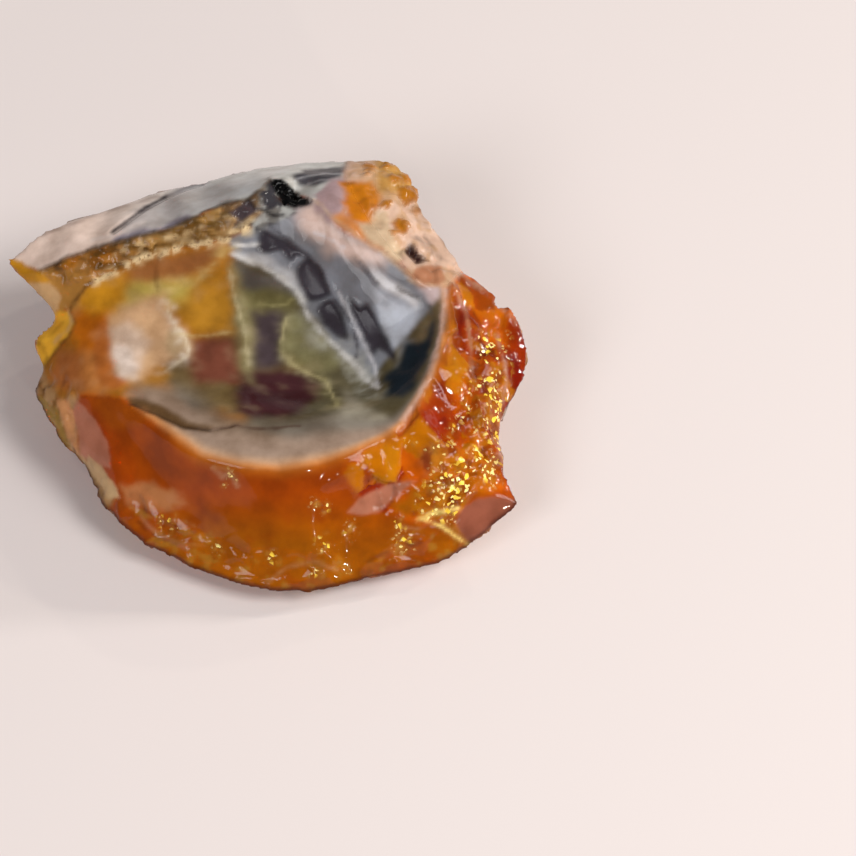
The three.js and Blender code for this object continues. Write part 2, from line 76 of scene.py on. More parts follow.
# The fine surface and its relief, in millimetres.
STONE_VOXEL = 0.24
RESTING_BELOW = 0.06
FLOOR_GAP = 0.05
HIGHEST_RELIEF = 0.9
HOLE_DEPTH = 0.8
FLAKE_DEPTH = 0.25
CRACK_DEPTH = 0.3
CREASE_WIDTH = 0.45
CREVICE_WIDTH = 0.4
GRAIN_HEIGHT = 0.05
RIPPLE_CENTRE = np.array([16.0, 14.0])
RIPPLE_LENGTH = 1.9
RIPPLE_HEIGHT = 0.025

# Which way the splinters of the right flank run.
SPLINTERS = 0.25 * RIGHT - 0.97 * UP

# The amber body: its own look, and what it takes from the light that passes through it.
BODY_COLOUR = "D25800"
BODY_CLEARNESS = 0.5
BODY_ROUGHNESS = 0.06
BODY_IOR = 1.38
BODY_SPECULAR = 0.15
BODY_TINT = (0.99, 0.85, 0.1, 1)
BODY_DENSITY = 500.0

# The golden flecks, partly painted glints: two sizes in millimetres, the random number from which one
# shines, and how far above that it shines in full.
FLAKE_SIZE = 0.42
FLECK_SIZE = 0.24
GOLDEN_FROM = 0.89
GOLDEN_STEP = 0.04

# The floor, in metres, and the light. Each lamp has a name, its place and width in metres, its power in
# watts and its colour, and shines on the frame's origin.
FLOOR_REACH = 3.0
FLOOR_COLOUR = "DCD2CF"
FLOOR_ROUGHNESS = 0.6
WARM_WHITE = (1.0, 0.98, 0.96)
COOL_WHITE = (0.98, 0.98, 1.0)
GOLDEN_WHITE = (1.0, 0.93, 0.8)
LAMPS = (
    ("right softbox", (0.36, -0.15, 0.42), 0.26, 2.4, WARM_WHITE),
    ("far right softbox", (0.75, 0.2, 0.3), 0.09, 2.7, WARM_WHITE),
    ("left softbox", (-0.45, -0.6, 0.6), 0.4, 3.8, COOL_WHITE),
    ("right glint", (0.68, 0.28, 0.5), 0.03, 0.8, GOLDEN_WHITE),
    ("back glint", (0.46, 0.66, 0.6), 0.025, 0.5, GOLDEN_WHITE),
    ("front glint", (0.3, -0.8, 0.32), 0.03, 0.6, GOLDEN_WHITE),
)
WORLD_COLOUR = (0.9, 0.88, 0.9, 1)
WORLD_STRENGTH = 0.22

# The stone's main lines in the drawing, and the outlines of its pit and hollow, in millimetres.
CREST = [
    (-23.7, 10.4), (-20.6, 9.3), (-18.1, 10.5), (-15.7, 11.3), (-12.1, 12.3), (-8.3, 13.3), (-5.8, 14.5),
    (-3.7, 15.4), (-1.6, 15.8), (-0.2, 17), (0.3, 17.7),
]
LEDGE_FOOT = [
    (-20.6, 9.3), (-19.3, 8.2), (-15.5, 8.5), (-11, 10.6), (-8.4, 11.3), (-3.6, 12.2), (-1.4, 13.4),
    (-0.2, 14.4), (0.9, 15.8),
]
PIT = [
    (0.25, 17.6), (1.4, 17.8), (2.4, 16.9), (3.4, 16), (4.4, 15.8), (3.7, 15.2), (2.7, 14.9), (1.6, 15.2),
    (0.9, 16.2),
]
WALL_CREST = [(4.3, 15.8), (5.9, 14.3), (8.6, 12.2), (10.9, 10.8), (12.2, 9.8), (13.7, 8), (16.3, 7.9)]
WALL_FOOT = [
    (-3.6, 12.2), (-2.6, 10.6), (-0.6, 10), (1.3, 8.9), (3, 7.1), (3.9, 5.7), (5.3, 3.9), (6.6, 2.2),
    (8, 0.9), (9.4, -0.5),
]
OUTER_RIM = [
    (16.3, 7.9), (16.4, 5.8), (16.1, 3.1), (15.2, 0.4), (14, -2), (12.4, -4.5), (10.8, -5.6), (8.5, -6.7),
    (6.1, -7.6), (3.9, -8.1), (1.6, -8.4), (-2.2, -8.1), (-5.4, -7.2), (-7.4, -5.8), (-9.8, -4),
    (-11.4, -2.9), (-12.1, -2.2),
]
FLAP_EDGE = [(-15.5, 8.5), (-16.5, 7.6), (-17.8, 5.8), (-17.2, 4.7), (-17.6, 3.6), (-18.7, 2.5), (-20.1, 0.5)]
SHOULDER = [(-21.1, -1.5), (-18.2, -2.2), (-16.6, -1.6), (-13.9, -1.7), (-12.1, -2.2)]
HOLLOW = (
    LEDGE_FOOT[2:] + [(2.7, 14.8)] + WALL_CREST + OUTER_RIM[1:] + SHOULDER[1:-1][::-1] + FLAP_EDGE[::-1]
)

# Outlines of the stone's other parts. CREASE and CREVICE_LINE are open lines.
FLANK = [
    (16.3, 7.9), (16.4, 5.8), (16.1, 3.1), (15.2, 0.4), (14, -2), (12.4, -4.5), (9.5, -6.6), (7, -8.6),
    (9, -11.5), (14, -13.5), (17, -12.5), (18.5, -10.6), (24, -10), (26, 0), (24, 7), (16.8, 10.6),
]
CORNER = [(6.9, 17.6), (7.2, 20.5), (16, 22), (18.5, 10), (16.4, 7.9), (13.7, 8), (12.2, 9.8), (9, 14)]
LEDGE = CREST[1:] + LEDGE_FOOT[1:-1][::-1]
FOOT_STRIP = [
    (-15, -11.2), (-13.1, -10.5), (-9.5, -11.7), (-5.9, -14.1), (-0.5, -16.3), (4.9, -16.8), (11.2, -15.6),
    (16.6, -13), (17.5, -18), (4, -23), (-10, -19),
]
LEFT_CRUST = [
    (-24, 0.4), (-20.4, 0.5), (-19.4, 1), (-17.6, -0.4), (-16.6, -1.9), (-17.4, -3.6), (-16.8, -5),
    (-16.6, -7.2), (-14.7, -8.5), (-13.2, -10.2), (-13.6, -11.6), (-15.5, -12.5), (-22, -7),
]
SLOPE = CREST + [(4.3, 15.8), (6.5, 16.5), (7.8, 20.5), (-8, 22), (-26, 14)]
WALL = WALL_FOOT + WALL_CREST[::-1]
HOLE = [(12.4, 11), (13.2, 11.9), (13.7, 11), (14.8, 10.3), (13.5, 9.9)]
CREASE = [(-13.9, 12.9), (-12.7, 13.8), (-11, 15.2), (-9.3, 16.2), (-7.5, 17.1), (-5.8, 17.6)]
CREVICE_LINE = [(-12.2, -2.3), (-9.8, -3.2), (-7, -4.4), (-4.8, -4.9), (-2.8, -4.5)]
CREVICE = [
    (-12.4, -2), (-10.8, -2.2), (-9.2, -2.8), (-7.6, -3.7), (-6.2, -4.3), (-4.2, -4.7), (-4.9, -5.1),
    (-7, -4.9), (-9, -4.1), (-10.8, -3.1), (-12, -2.7),
]
BESIDE_NODULE = [
    (4.3, 15.9), (5.2, 17.2), (6.9, 18.2), (7.4, 17.2), (7.2, 15.6), (8.2, 14.2), (9.6, 13.2), (9.4, 11.8),
    (7.4, 12.8), (5.9, 13.8), (4.3, 15),
]
WALL_FLAKES = [
    [(-0.4, 13.2), (1.4, 12.4), (3, 11.4), (3.7, 10.7), (2.7, 10.7), (2.3, 10.1), (1.2, 11.2), (-0.2, 10.8),
     (-0.9, 11.4)],
    [(2.7, 9.9), (3.7, 10.7), (4.8, 9.8), (5.5, 8.3), (5.9, 7.1), (4.6, 6.7), (3.7, 6.6), (3, 7.8),
     (2.6, 8.9)],
    [(4.8, 6.4), (6, 6.9), (6.9, 5.5), (7.4, 3.4), (7.3, 3), (6.2, 3.5), (5.1, 4.6), (4.6, 5.7)],
    [(7.4, 6.9), (8.4, 6), (9.1, 6.4), (9.8, 5.3), (10.8, 3.5), (11.6, 1.9), (11.6, 1.1), (10.8, 1.9),
     (10.1, 2.3), (9.6, 1.6), (9.1, 2.7), (8.4, 4.1), (7.8, 5.5)],
]
DARK_CORNER = [
    (11.9, 0.9), (12.6, 2.8), (14.2, 3.2), (14.9, 5.1), (15.2, 4.3), (15.1, 2.5), (14.4, 0.7), (13.3, -1.1),
    (12.3, -2), (11, -1.8), (10.5, -0.9), (10.8, 0.2),
]

# The corner's nodules, each as across, up, radius and height, and the front's pale spots of painted glints,
# without a height.
NODULES = [
    (9.25, 18.7, 0.6, 0.3), (11.6, 17.6, 0.5, 0.3), (12.6, 16.2, 0.9, 0.55), (10.8, 15.3, 0.55, 0.3),
    (12.1, 13.3, 0.8, 0.35), (12.5, 17.9, 0.6, 0.35), (10.8, 18.9, 0.5, 0.3), (13.5, 14.8, 0.5, 0.2),
    (7.3, 17.0, 0.25, 0.15),
]
GLINTS = [
    (-3.1, -9.0, 0.9), (5.1, -11.7, 1.0), (5.6, -15.0, 1.2), (4.6, -17.3, 0.6), (-4.1, -15.3, 0.9),
    (0.4, -16.4, 0.9), (-8.4, -13.2, 1.2), (7.7, -14.0, 1.2), (7.3, -17.2, 0.7), (11.8, -13.0, 0.8),
    (12.4, -14.8, 1.2), (15.6, -10.3, 1.0), (16.6, -9.8, 0.9), (16.2, -12.4, 1.3), (13.2, -5.6, 0.8),
    (15.2, -6.6, 1.2),
]

# Where flecks shine on the right flank, and zones of colour beside the pit and on the slope.
GLITTER = [(18.5, 4.3), (21.5, 3.6), (21.7, 0.7), (21.2, -9), (17, -14), (13, -12.5), (16, -7), (18.2, -1)]
BESIDE_PIT = [
    (-1.4, 13.4), (-0.4, 14.6), (-0.6, 16.4), (0.3, 17.7), (0.9, 17.4), (1.2, 15.8), (2.9, 14.7), (1.2, 13.9),
    (-1, 12.8),
]
PLUM_BLOCK = [(-3.4, 14.4), (-2, 15.6), (-1.1, 15.6), (-0.8, 14.6), (-2.2, 13.9)]
GREY_SLOPE = CREASE + [(2, 17.4), (-0.2, 17), (-5.8, 14.5), (-12.1, 12.3)]
DARK_END = [(2.3, 18), (3.5, 18.7), (5.7, 18.9), (7.1, 18.8), (6.7, 18), (5.3, 17.4), (4.1, 17), (3, 17.1)]
RED_END = [(6.9, 18.8), (7.5, 18.7), (7.4, 18.2), (6.9, 18.1)]

# Open lines of single marks.
CREASE_SHADE_LINE = CREASE[:4]
BELOW_CREASE = [(-13.5, 12.1), (-10, 12.9), (-7, 14)]
BELOW_PIT = [(-1.5, 15.7), (-0.9, 15), (-0.1, 14.7), (0.7, 14.4), (1.6, 14.5)]
LEDGE_SEAM = [(-13.5, 11), (-10.5, 12), (-7.6, 12.6), (-5.4, 13.4), (-3.2, 14)]
DARK_END_LINE = [(2.6, 17.7), (4.6, 18.2), (7, 18.3)]
LOW_DARK_END_LINE = [(3.6, 17.2), (5, 17.7), (6.6, 17.6)]
WALL_TOP = [(1.2, 13.8), (2.7, 14.9), (4.5, 15.9)]
CREVICE_SHADOW = [(-11.8, -2.7), (-9, -3.9), (-7, -4.8), (-4.6, -5)]

# Zones with an edge softer than SOFT_FROM, and lines wider than BLURRED_FROM, wander more than the others.
SOFT_FROM = 0.3
BLURRED_FROM = 0.6

# Markings, each as colour, clearness, softness of its edge in millimetres, and outline.
BOWL_MARKS = [
    ("5C5238", 0.15, 0.55, [(-3, 10.6), (-3.2, 4), (-2.4, -1), (-1.5, -5), (6, -6.5), (12, -5), (16, 0),
     (16.2, 6), (13, 9.5), (2, 14)]),
    ("B4600C", 0.0, 0.55, [(-17, 7.4), (-13.5, 8), (-13.9, 4.5), (-14.6, 1.5), (-17, 2), (-17.4, 5)]),
    ("A5602E", 0.0, 0.55, [(-19.1, 2.5), (-16.5, 2.2), (-14.4, 0.9), (-14.4, -1.6), (-17, -1.6),
     (-19.5, -0.5)]),
    ("C6881E", 0.1, 0.55, [(-16.8, 8.2), (-13.2, 8.8), (-12.4, 7.2), (-13.4, 5.4), (-15.4, 5.6), (-17, 6.4)]),
    ("C27A3C", 0.0, 0.45, [(-16.2, 2.4), (-14, 1), (-13.2, 0), (-12.8, -1.3), (-15.8, -1.4)]),
    ("9A6234", 0.2, 0.45, [(-12.7, 9.3), (-9.4, 10.7), (-7.5, 11.4), (-4.1, 11.7), (-4.4, 10.3), (-6.5, 9.1),
     (-8.1, 8.3), (-9.9, 7.4), (-12, 7.4)]),
    ("BE8426", 0.3, 0.45, [(-8.4, 6.9), (-5.8, 8.8), (-3.6, 9.6), (-3.1, 7.4), (-2.9, 4.8), (-3.2, 3.6),
     (-6.5, 3.8), (-7.5, 4.8), (-8.4, 5.9)]),
    ("B8A24E", 0.2, 0.55, [(-12.6, 7.8), (-9, 8.2), (-6.4, 8.6), (-7.6, 6.9), (-9.4, 5.4), (-13.2, 6)]),
    ("745F3C", 0.2, 0.45, [(-9, 2.6), (-1.8, 4), (1.5, 4.8), (5, 1.4), (6, -1.8), (0, -3.5), (-6.9, -2.9),
     (-9.4, 0)]),
    ("744030", 0.15, 0.45, [(-7, 3.6), (-3.2, 3.6), (-2, 1.4), (-2.4, -0.9), (-6.2, -1), (-7, 0.5),
     (-6.8, 2.2)]),
    ("726A42", 0.2, 0.45, [(-3.1, 9.4), (-0.7, 8.3), (2.8, 7.6), (2.8, 6.4), (1.1, 6), (-1.5, 5.8),
     (-2.4, 7.2)]),
    ("5E5954", 0.15, 0.45, [(-3.2, 10.4), (-1.6, 10), (0.6, 9), (2.6, 8), (2.2, 7.4), (-0.6, 7.9),
     (-2.8, 8.2)]),
    ("4A3E42", 0.15, 0.6, [(-1.2, 5.5), (1.1, 6), (1.8, 4), (1.6, 2.2), (1.9, 1.2), (0.2, 0.3), (-1.2, 0.7),
     (-1.3, 3.1)]),
    ("86805A", 0.2, 0.45, [(1.8, 5.5), (3.4, 5.7), (5.3, 3.5), (6.6, 2.1), (8, 0.7), (9.4, -0.5), (7.1, 0.2),
     (5.3, -0.9), (3.9, 0.2), (2.1, 2.3)]),
    ("462428", 0.15, 0.55, [(-2, 0), (1.5, 0.6), (4.4, -0.4), (4.8, -1.6), (3.9, -2.9), (1.2, -4.3),
     (-1.9, -3.8), (-2.7, -2.1)]),
    ("605840", 0.15, 0.55, [(4.4, 0), (6.9, 1.1), (9.4, -0.7), (11.9, -2.3), (9.4, -3.5), (6.6, -4.1),
     (3.9, -3.7), (4.8, -2)]),
    ("C59A6A", 0.2, 0.6, [(-13.9, 5.4), (-12, 6.6), (-9.6, 6.9), (-8.9, 5.2), (-9, 3.4), (-9.6, 1.2),
     (-10.8, -0.1), (-12.2, -0.4), (-13.5, 0.6), (-13.9, 2.8)]),
    ("C9A98C", 0.15, 0.45, [(-9.5, 4.4), (-8.2, 4.6), (-7.3, 3.2), (-7.5, 1.6), (-9.4, 0.8), (-10, 2.4)]),
    ("968A60", 0.2, 0.35, [(-3.6, 9.8), (-2.6, 9.6), (-1.8, 6.8), (-1.2, 4.2), (-0.9, 1), (-1.3, -0.8),
     (-1.9, 0.4), (-2.2, 3.4), (-2.9, 6.2)]),
    ("AEA692", 0.15, 0.55, [(7.6, -1.6), (8.8, -2.8), (10.8, -3.6), (12.4, -4), (9.6, -5.2), (5.5, -5.6),
     (6.6, -3.8)]),
    ("C98A2C", 0.25, 0.4, [(-11.4, -0.6), (-9.2, 0.3), (-8.4, -0.3), (-9.6, -1), (-11.4, -1.4)]),
]
# The milky patch of the bowl, its palest middle partly a painted reflection.
MILK_MARKS = [
    ("CDA47C", 0.15, 0.7, [(-13.9, 5), (-12.7, 6), (-10.6, 6.9), (-9, 7.2), (-8.6, 5.5), (-8.1, 4.7),
     (-7, 3.3), (-7, 1.9), (-8.8, 0.9), (-10, 0.2), (-12, -0.7), (-13.4, 0.2), (-13.7, 1.7), (-14.1, 3.3)]),
    ("D4BAA6", 0.1, 0.5, [(-14, 3.9), (-12.4, 4.8), (-11, 4.2), (-10.5, 2.8), (-10.8, 1.4), (-11.6, -0.3),
     (-12.9, -0.3), (-13.7, 1.4)]),
    ("DECCC0", 0.1, 0.4, [(-13.6, 2.6), (-12.5, 2.9), (-11.6, 1.9), (-11.5, 0.7), (-12.2, -0.1), (-13.1, 0.1),
     (-13.6, 1.3)]),
    ("A48A68", 0.15, 0.3, [(-8.4, 4.4), (-7.6, 4), (-7.1, 3.1), (-7.1, 2), (-8.2, 1.4), (-9, 2),
     (-8.9, 3.6)]),
    ("AC6028", 0.0, 0.13, [(-14.3, 5), (-13.9, 2.7), (-13.7, 1.3), (-13.4, 0.2), (-12.2, -0.7), (-13.2, -1.4),
     (-14.6, -1), (-15.4, 1.5), (-15.2, 4.4)]),
]
WALL_MARKS = [
    ("DCC0B4", 0.08, 0.8, [(2.5, 15), (4.3, 15.8), (8.6, 12.2), (11, 10.6), (10.5, 9.2), (6.5, 10.8),
     (3.5, 12.8)]),
    ("B9B8BA", 0.08, 0.4, [(-3.2, 11), (-1.5, 11.4), (-0.1, 10.7), (2.1, 9.3), (3.9, 7.4), (3.9, 5.5),
     (2.4, 7.7), (0.2, 9.5), (-1.7, 10.2)]),
    # The next bluish-white patch is the wall's grey lightened by a painted sheen.
    ("B4B8C2", 0.08, 0.4, [(9.4, 8.2), (10.8, 7.5), (13.7, 6), (13.7, 4.1), (12.3, 1.9), (11.9, 0.9),
     (11.2, 3.2), (10.1, 5.3)]),
    ("D4D2D4", 0.08, 0.3, [(9.4, 9.6), (10.8, 8.7), (13, 7.5), (13.7, 6.4), (13.5, 5.9), (11.9, 7.1),
     (10.5, 7.8), (9.8, 8.5)]),
    ("C9B4B4", 0.1, 0.3, [(13.5, 8), (16.4, 8.2), (16.2, 6.9), (15.5, 5), (15.1, 6), (14.4, 7.3)]),
    ("46413C", 0.1, 0.4, [(14.6, 6.2), (15.4, 4.6), (15.2, 1.8), (13.8, -0.8), (12.2, -2.2), (11.6, -1.2),
     (13.6, 1.2), (14.4, 4)]),
    ("18222A", 0.1, 0.45, DARK_CORNER),
]
CORNER_MARKS = [
    ("E29654", 0.35, 0.4, [(6.2, 14.4), (7, 14.8), (8.2, 13.9), (9.4, 13), (10.6, 11.6), (10, 11), (8, 12.6),
     (6.6, 13.6)]),
    ("EE9018", 0.4, 0.35, [(6.6, 17.3), (9.4, 17.6), (9.8, 16.7), (9.9, 14.6), (9.1, 13.7), (8, 14),
     (7.1, 15.1), (6.8, 16)]),
    ("E6CAA6", 0.25, 0.3, [(9.8, 14.9), (10.8, 14.6), (11.6, 12.1), (12.6, 11), (11.9, 9.9), (10.5, 11),
     (9.1, 12.1), (8.4, 13.5), (9.4, 13.7)]),
    ("B87E5C", 0.2, 0.15, [(13.5, 9.6), (14.8, 9.9), (15.8, 9.8), (16.2, 8.5), (15.5, 8), (14.2, 8.2),
     (13.2, 8.7)]),
]
FLANK_MARKS = [
    ("FF8400", 0.5, 0.2, [(16.4, 9.6), (20.4, 6.8), (22.6, 4.5), (21.2, 4.3), (19.6, 5), (18.3, 5.7),
     (17.2, 7.3)]),
    ("7E1A0A", 0.4, 0.2, [(16.3, 7.3), (17.1, 6.9), (17.9, 5.1), (17.8, 4.3), (16.5, 4.6), (16.2, 6)]),
    ("E89014", 0.4, 0.2, [(15.8, 2.5), (16.5, 2.8), (17.8, 0.5), (17.6, -0.9), (16.5, -0.4), (15.8, 1.4)]),
    ("C84800", 0.5, 0.4, [(14.8, -0.2), (16.5, -0.9), (17.2, -2.5), (16.5, -3.7), (14.8, -3.6), (14, -2)]),
    ("A82000", 0.5, 0.3, [(21.6, 5.2), (26, 5), (26, -10), (21.6, -9.5), (21.3, -5), (21.8, -1)]),
    ("B56A3A", 0.3, 0.4, [(13.7, -6.8), (15.4, -6.2), (16.4, -7.4), (16, -9), (14, -9.1), (13.4, -8)]),
    ("E88400", 0.5, 0.6, [(16.6, -7), (19, -5.6), (21, -7.4), (20.4, -10.4), (17.4, -10.2), (15.3, -9.5)]),
    # The next small bright yellow patch is a painted glint.
    ("FFDC64", 0.4, 0.1, [(16.2, -9.7), (17.3, -9.6), (17.4, -10.1), (16.3, -10.2)]),
    ("CC7A00", 0.5, 0.5, [(11.3, -11.4), (13.4, -10.4), (15.3, -9.5), (17.4, -10.1), (18.2, -10.7),
     (16.6, -12.7), (14.2, -13), (11.8, -12.3)]),
]
FRONT_MARKS = [
    ("DC6800", 0.5, 0.7, [(-15.8, -1.6), (-12.4, -2.4), (-9.8, -4.3), (-12.4, -5.2), (-13.9, -4.8),
     (-15.5, -3.1)]),
    ("C05200", 0.4, 0.9, [(-13.6, -5), (-9.4, -4.8), (-6, -6.9), (-4.9, -9.2), (-6, -10), (-9.8, -9.8),
     (-12.4, -9.2), (-13.6, -7.7)]),
    ("D68A54", 0.4, 0.5, [(-12.8, -10), (-9.8, -9.8), (-7.9, -10.3), (-6.7, -11.7), (-9.8, -12.2),
     (-12.4, -11.5)]),
    ("CC8468", 0.3, 0.12, [(-18.2, -2.2), (-17.4, -2), (-16, -3), (-14.7, -4.8), (-13.8, -6.6), (-13.7, -8.3),
     (-14.7, -8.3), (-16.6, -7.3), (-16.8, -5), (-17.5, -3.5)]),
]
FACET_MARKS = [
    ("C27C60", 0.25, 0.15, [(7.5, -12.3), (8.6, -10.9), (10.2, -10.1), (12.1, -9.5), (13.6, -9.5),
     (12.4, -10.4), (11.3, -11.4), (10.2, -12.3), (8.6, -12.5)]),
    ("9C5A44", 0.25, 0.15, [(16.9, -13.1), (17.7, -12), (19, -10.9), (21.1, -10.9), (24, -11.3),
     (22.9, -12.4), (19.2, -15.2), (18.1, -14.8)]),
]
LEFT_MARKS = [
    ("A8843E", 0.3, 0.15, [(-21.6, -1.2), (-20.2, -2), (-18.6, -3.3), (-18.1, -4.9), (-17.4, -6.6),
     (-18.5, -6.4), (-20, -4.3), (-21.6, -2.6)]),
    ("DC9C66", 0.2, 0.15, [(-18.7, -2.4), (-17.6, -2.3), (-16.9, -4.6), (-16.8, -7.2), (-17.5, -6),
     (-18.2, -4.1)]),
    ("D2AE80", 0.2, 0.15, [(-15.8, -7.2), (-14.7, -8.1), (-13.3, -10), (-12.9, -11.1), (-14.1, -11.1),
     (-14.9, -9.6), (-16, -8.1)]),
    ("BE8840", 0.25, 0.3, [(-20.5, 9.3), (-16.2, 9.3), (-15.5, 8.3), (-16.5, 7.4), (-17, 6.2), (-18.7, 5.3),
     (-19.9, 7.2)]),
    ("FABA38", 0.3, 0.15, [(-23, 6), (-17.8, 5.8), (-17.2, 4.7), (-17.6, 3.6), (-18.7, 2.5), (-20.1, 0.5),
     (-23, 1)]),
    ("E2A024", 0.3, 0.2, [(-24.5, 11.2), (-20.6, 9.3), (-19.3, 8.2), (-20.6, 7.6), (-25, 8.5)]),
    ("D8AE7C", 0.2, 0.2, [(-22.6, 8.2), (-19.6, 8.4), (-18.4, 7), (-18.8, 5.9), (-20.4, 4.8), (-23, 6)]),
]

# Veins of the bowl with crumbs along them, each as line, width, and colours of its pale and dark crumbs.
MILK_EDGE = [(-9, 6.2), (-8.2, 4.8), (-7.4, 3.6), (-7, 2.6), (-7.3, 1.6), (-8.2, 1), (-9.2, 0.6)]
OLIVE_VEIN = [
    (1.8, 5), (1.5, 3.6), (1.4, 2.5), (1.8, 1.6), (2.7, 0.7), (4.1, 0), (5.3, -0.5), (6, -1.6), (6.5, -2.8),
]
PALE_VEIN = [(-3.4, 9.4), (-2.9, 7.2), (-2.3, 5.4), (-1.9, 3.6), (-1.5, 0.8)]
CRUMBLY_VEINS = [
    (MILK_EDGE, 1.1, "F0E4D6", "8A6436"),
    (OLIVE_VEIN, 0.9, "C8BE94", "454228"),
    (PALE_VEIN, 0.7, "CABF9C", "6A6242"),
]

